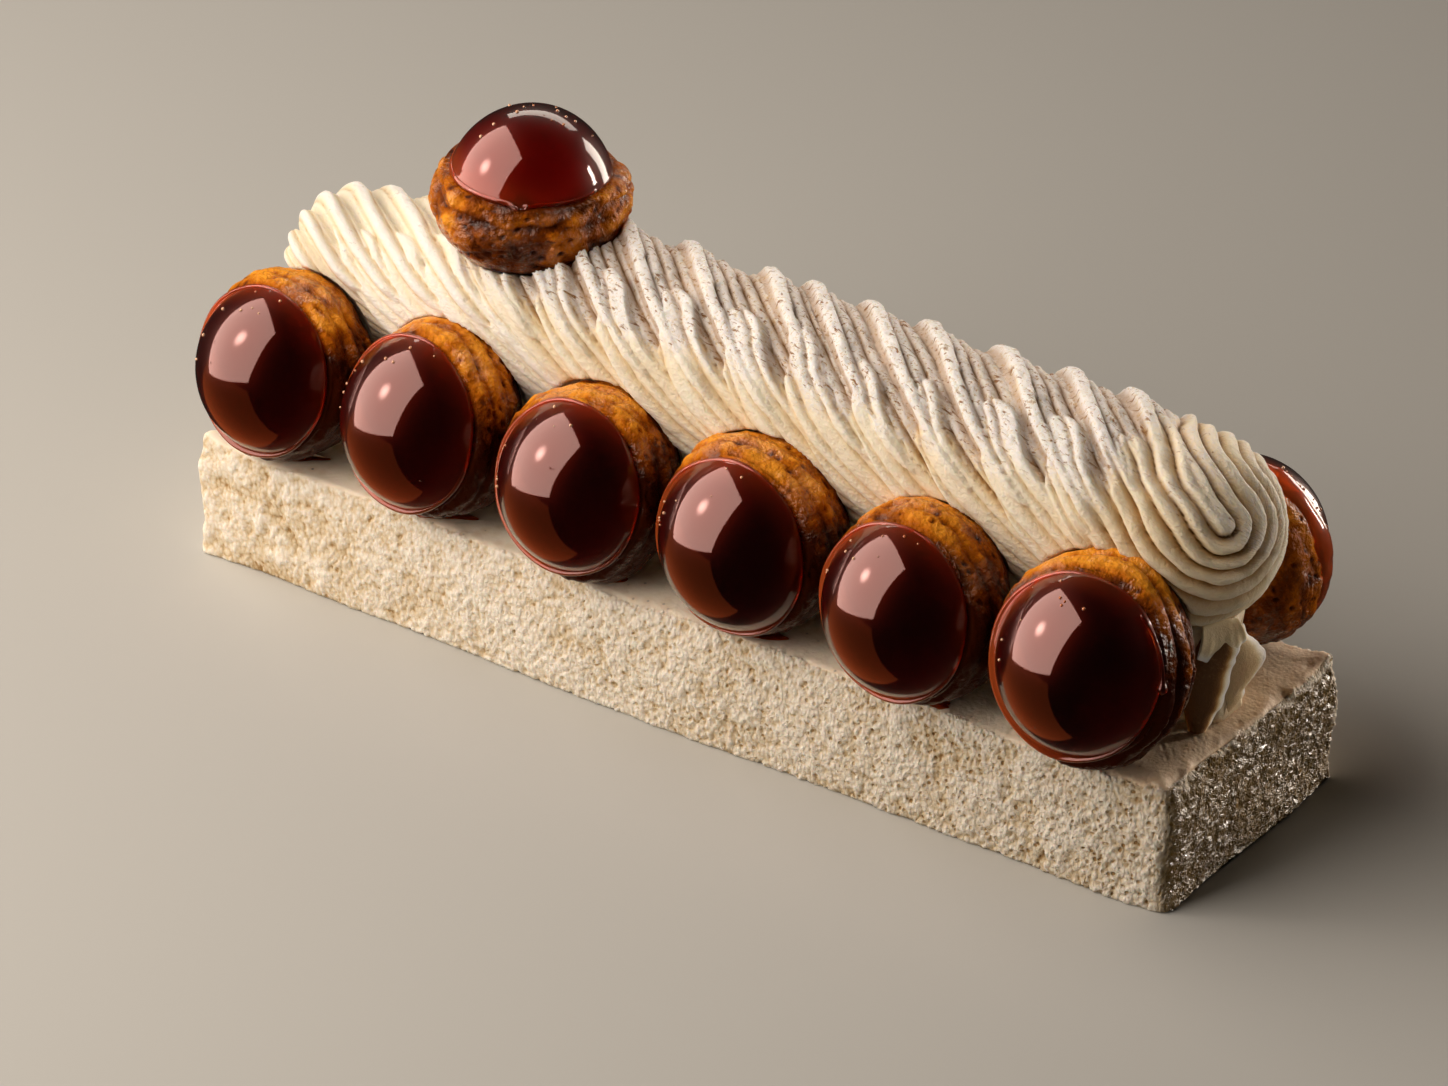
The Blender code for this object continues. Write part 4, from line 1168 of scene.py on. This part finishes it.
def make_rope(buns, material):
    """Rope of piped cream: a round bar grown outwards by overlapping lobes, fine ridges and beads.

    Over its right end it grows along the rounded end's own normal, so that the swirl runs on there.
    """
    x = rope_stations()[:, None]
    degrees = rope_angles()[None, :]
    radius, height = rope_section(x)
    angle = np.radians(degrees)
    x, degrees = np.broadcast_arrays(x, degrees)
    y, z = -radius * np.sin(angle), height + radius * np.cos(angle)
    tip = np.clip((x - (ROPE_RIGHT - ROPE_RIGHT_ROUNDING)) / ROPE_RIGHT_ROUNDING, 0.0, 1.0)
    upright = np.sqrt(1 - tip ** 2)
    out = 0.6 * CREAM_DEPTH
    relief, ridge, groove, strip, swirl, loops = rope_relief(
        x, degrees, x + out * tip, y - out * upright * np.sin(angle), z + out * upright * np.cos(angle))
    place = np.stack([x, y, z], axis=-1)
    along = 0.31 * degrees
    beads = smooth_noise(np.stack([(x - ridge_shift(degrees)) / 1.6, along / 0.75, 0 * x], axis=-1), 1.0, 91)
    facing = np.clip(0.55 + 0.6 * np.cos(angle), 0, 1)
    sugared = 0.15 + 0.85 * smooth_step((x - SUGAR_START) / SUGAR_SPAN)
    dusty = facing * sugared * (1 - 0.6 * swirl) * smooth_step((75 - degrees) / 35)
    beads = (0.07 + 0.36 * dusty * (0.5 + 0.5 * strip)) * upright * beads
    relief = relief + beads + 0.14 * rough_noise(place, 3.5, 95)
    relief = relief * np.where(x < 0, np.minimum(1.0, radius / (0.5 * ROPE_RADIUS)), 1.0)
    grown = radius + relief * upright
    points = np.stack([x + relief * tip, -grown * np.sin(angle), height + grown * np.cos(angle)], axis=-1)
    points[..., 2] = np.maximum(points[..., 2], ROPE_UNDERSIDE)
    axis_points = np.stack([x, 0 * x, height + 0 * x], axis=-1)
    points = press_out(points, axis_points, buns)
    dust = np.clip(dusty * (0.62 + 0.38 * strip), 0, 1)
    uv = np.stack([x - ridge_shift(degrees), along], axis=-1)
    make_rings("cream_rope_ridges", points, material, ("cream_rope",),
               {"dust": dust, "groove": np.clip(groove, 0, 1)}, uv)


# Cream bed

def make_bed(material):
    """Low wall of cream between slab and rope, with leaning flutes, wider at its foot and head."""
    stations = 0.5 - 0.5 * np.cos(math.pi * np.linspace(0, 1, 520))
    x = BED_LEFT + (BED_RIGHT - BED_LEFT) * stations[:, None]
    turn = full_turn(60)[None, :]
    level = np.clip(0.5 - 0.62 * np.cos(turn), 0, 1)
    side = np.clip(-1.6 * np.sin(turn), -1, 1)
    flute = (1.1 * np.sin(2 * math.pi * x / 9.0 + 2.4 * level)
             + 0.5 * np.sin(2 * math.pi * x / 3.1 + 3 * level))
    flare = 0.30 * (2 * level - 1) ** 2 - 0.10
    inside = (np.minimum(BED_RIGHT - x, x - BED_LEFT) + 3.0 * flare) / BED_END_ROUNDING
    width = (BED_HALF_WIDTH * (1 + flare) + flute) * np.sqrt(np.clip(inside, 0.02, 1.0))
    bottom, top = SLAB_HEIGHT + GAP, ROPE_UNDERSIDE - GAP
    points = np.stack([x + 0 * turn, width * side, bottom + (top - bottom) * level + 0 * x], axis=-1)
    # Its groove layer is an even 0.3, which tints the bed's cream evenly darker and warmer than the rope's
    # tops.
    make_rings("cream_bed_flutes", points, material, ("cream_bed",),
               {"dust": np.zeros(1), "groove": np.full(1, 0.3)})


def smooth_path(points, count):
    """Points evenly spaced in number along a path, its corners rounded by repeated averaging."""
    stops = np.linspace(0, 1, len(points))
    along = np.linspace(0, 1, count)
    path = np.stack([np.interp(along, stops, np.array(points)[:, axis]) for axis in range(3)], axis=-1)
    for _ in range(count // 3):
        path[1:-1] = (path[:-2] + 2 * path[1:-1] + path[2:]) / 4
    return path


def make_petal(name, free_edge, root, hollow, seed, shade, material):
    """Thin blade of cream between a free edge and a root, hollowed towards the camera's left.

    Point = edge (1 - u) + root u + normal (hollow 4u (1 - u) + ruffle (1 - u)^2 + thickness sin t),
    where u = (1 - cos t) / 2 runs once across the blade and back.
    """
    rows, turn = 80, full_turn(44)
    edge, inner = smooth_path(free_edge, rows), smooth_path(root, rows)
    share = (0.5 - 0.5 * np.cos(turn))[None, :, None]
    along = np.linspace(0, 1, rows)[:, None]
    across = inner - edge
    normal = np.cross(np.gradient(edge, axis=0), across)
    normal /= np.linalg.norm(normal, axis=1, keepdims=True)
    shifted = edge + 9.0 * seed
    ragged = 0.4 * smooth_noise(shifted, 2.6, seed) + 0.15 * smooth_noise(shifted, 1.1, seed + 1)
    edge = edge - across / np.linalg.norm(across, axis=1, keepdims=True) * ragged[:, None]
    ruffle = (0.35 * np.sin(2 * math.pi * 1.7 * along + seed)
              + 0.12 * np.sin(2 * math.pi * 5.1 * along + 2 * seed))
    u = share[..., 0]
    half_thickness = 0.14 + 0.35 * u
    lift = hollow * 4 * u * (1 - u) + ruffle * (1 - u) ** 2 + half_thickness * np.sin(turn)
    points = edge[:, None] * (1 - share) + inner[:, None] * share + normal[:, None] * lift[..., None]
    # Painted shade: the blade is painted darker into its hollow, away from its free edge.
    groove = 0.02 + shade * smooth_step((u - 0.03) / 0.3)
    make_rings(name, points, material, (), {"dust": np.zeros(1), "groove": groove})


def make_pools(material):
    """Small pools where caramel ran down and set on the slab's top, under each front dome.

    Each is a flat lens: half length a, half width b, height h (1 - r^2), its outline waved.
    """
    bearing = full_turn(60)[None, :]
    share = np.concatenate([np.linspace(0.02, 1, 10), np.linspace(1, 0.02, 24)[1:]])[:, None]
    upper = np.arange(33)[:, None] > 9
    for number, (x, y, half_length, turn) in enumerate(CARAMEL_POOLS, start=1):
        wave = 1 + 0.10 * np.sin(3 * bearing + number) + 0.06 * np.sin(5 * bearing + 2 * number)
        along = half_length * share * wave * np.cos(bearing)
        across = POOL_HALF_WIDTH * share * wave * np.sin(bearing)
        along, across = turned(along, across, turn)
        plan_x, plan_y = x + along, np.maximum(y + across, POOL_FRONT)
        height = SLAB_HEIGHT + np.where(upper, POOL_HEIGHT * np.sqrt(1 - 0.98 * share ** 2), -0.9)
        points = np.stack([plan_x, plan_y, height + 0 * bearing], axis=-1)
        drop = slab_swell(np.stack([plan_x, plan_y, SLAB_HEIGHT + 0 * plan_x], axis=-1))[..., 2]
        points[..., 2] += drop
        make_rings(f"caramel_pool_{number}", points, material, (), {"thin": np.zeros(1)})


# Studio

def aim(obj, place, target):
    """Put an object at a place in metres with its own -Z towards a target."""
    way = Vector(target) - Vector(place)
    obj.matrix_world = Matrix.Translation(place) @ way.to_track_quat("-Z", "Y").to_matrix().to_4x4()


def add_softbox(name, place, target, size, power, spin=0.0, colour=WARM_WHITE):
    """Area light that gloss can reflect but the camera doesn't see."""
    light = bpy.data.lights.new(name, "AREA")
    light.color = colour
    light.shape = "RECTANGLE"
    light.size, light.size_y = size
    light.energy = power
    obj = bpy.data.objects.new(name, light)
    bpy.context.scene.collection.objects.link(obj)
    aim(obj, place, target)
    obj.matrix_world = obj.matrix_world @ Matrix.Rotation(math.radians(spin), 4, "Z")
    obj.visible_camera = False
    return obj


def add_lamp_glow(light):
    """Brighter round patch on a softbox where its lamp shines through the cloth."""
    light.use_nodes = True
    tree = light.node_tree
    spot = add_node(tree, "ShaderNodeNewGeometry")
    away = add_node(tree, "ShaderNodeVectorMath", {0: (spot, "Parametric"), 1: LAMP_SPOT},
                    operation="DISTANCE")
    glow, _ = remap(tree, (away, "Value"), 0.0, 0.12, 4.2, 1.0, "SMOOTHERSTEP")
    tree.links.new(glow.outputs["Result"], tree.nodes["Emission"].inputs["Strength"])


def make_studio(cake_pieces, caramel_pieces):
    """Pale floor, one large softbox at the upper left front, strips behind, and a dim room.

    The floor is hidden from gloss, which mirrors only the lights and the cake. Only the caramel
    mirrors two more: the softbox's pink sheen, and a warm card under the softbox.
    """
    floor_mesh = bpy.data.meshes.new("pale_floor")
    corners = [(x * FLOOR_HALF, y * FLOOR_HALF, FLOOR_HEIGHT)
               for x, y in ((-1, -1), (1, -1), (1, 1), (-1, 1))]
    floor_mesh.from_pydata(corners, [], [(0, 1, 2, 3)])
    material, tree, _ = new_material("pale_paper_floor")
    finish_material(tree, {"Base Color": linear("C6C7C4"), "Roughness": 0.6, "Specular IOR Level": 0.0})
    floor_mesh.materials.append(material)
    floor = bpy.data.objects.new("pale_floor", floor_mesh)
    bpy.context.scene.collection.objects.link(floor)
    floor.visible_glossy = False
    key = add_softbox("key_softbox", (-0.43, -0.361, 0.43), LIGHT_TARGET, KEY_SIZE, 10.6, KEY_SPIN)
    sheen = add_softbox("key_sheen", (-0.42, -0.353, 0.421), LIGHT_TARGET, KEY_SIZE, 25.0, KEY_SPIN,
                        SHEEN_PINK)
    card = add_softbox("warm_card", (-0.43, -0.361, -0.43), (0.0, 0.0, -0.06), KEY_SIZE, 3.1, -KEY_SPIN,
                       CARD_AMBER)
    add_lamp_glow(key.data)
    add_lamp_glow(sheen.data)
    for light in (sheen, card):
        light.visible_diffuse = False
        light.visible_transmission = False
        light.light_linking.receiver_collection = caramel_pieces
    for name, place, size, power in STRIPS:
        strip = add_softbox(name, place, LIGHT_TARGET, size, power)
        strip.light_linking.receiver_collection = cake_pieces
    world = bpy.data.worlds.new("dim_room")
    world.use_nodes = True
    background = world.node_tree.nodes["Background"]
    background.inputs["Color"].default_value = linear("8C8379")
    background.inputs["Strength"].default_value = ROOM_STRENGTH
    bpy.context.scene.world = world


def make_camera():
    """Long lens at the photograph's viewing angle, aimed a little left of the middle."""
    back = Vector((math.sin(CAMERA_TURN) * math.cos(CAMERA_RISE),
                   -math.cos(CAMERA_TURN) * math.cos(CAMERA_RISE), math.sin(CAMERA_RISE)))
    right = Vector((0, 0, 1)).cross(back).normalized()
    camera = bpy.data.cameras.new("camera")
    camera.sensor_width = SENSOR_WIDTH
    camera.lens = FOCAL_PIXELS * SENSOR_WIDTH / PHOTO_WIDTH
    obj = bpy.data.objects.new("camera", camera)
    bpy.context.scene.collection.objects.link(obj)
    pose = Matrix((right, back.cross(right), back)).transposed().to_4x4()
    pose.translation = CAKE_LENGTH * Vector(CAMERA_AIM) + back * (CAMERA_DISTANCE * CAKE_LENGTH)
    obj.matrix_world = pose
    bpy.context.scene.camera = obj


def main():
    bpy.context.scene.view_settings.view_transform = "Standard"
    make_camera()
    make_slab(sponge_material())
    pastry, caramel = pastry_material(), caramel_material("set_caramel", 470.0)
    amber = caramel_material("thin_amber_caramel", 170.0)
    buns, caps = make_row("front", FRONT_ROW, 0.0, pastry, caramel)
    back_buns, back_caps = make_row("back", BACK_ROW, 180.0, pastry, caramel)
    last, grow = buns[-1]
    make_run("caramel_run_front_6", last, grow[0], BUN_FACE * grow[0], caramel)
    buns += back_buns
    make_glaze_rim("caramel_rim_back_6", *buns[-1], amber)
    top, grow = top_frame()
    make_bun("top", top, grow, TOP_BUN_SEED, FOLDS_FAINT, pastry, SLAB_HEIGHT, plated=1.3, painted_shade=0.3)
    make_cap("top", top, TOP_DOME_SIZE, BUN_FACE * TOP_BUN_SQUAT, TOP_BUN_SEED, DOME_HEIGHT + 0.6, caramel,
             TOP_DRIP, collar=0.35)
    caps += [*back_caps, (top, TOP_DOME_SIZE, BUN_FACE * TOP_BUN_SQUAT, DOME_HEIGHT + 0.6, *TOP_BUBBLES)]
    make_bubbles(caps, bubble_material())
    make_pools(caramel)
    buns.append((top, grow))
    make_rope(buns, cream_material("dusted_whipped_cream", 0.75))
    plain = cream_material("whipped_cream", 0.3)
    make_bed(plain)
    for name, *petal in PETALS:
        make_petal(f"cream_petal_{name}", *petal, plain)
    cake_pieces = bpy.data.collections.new("cake_pieces")
    caramel_pieces = bpy.data.collections.new("caramel_pieces")
    for piece in bpy.data.objects:
        if piece.type == "MESH":
            cake_pieces.objects.link(piece)
        if piece.name.startswith(("caramel_cap", "caramel_run")):
            caramel_pieces.objects.link(piece)
    make_studio(cake_pieces, caramel_pieces)


main()
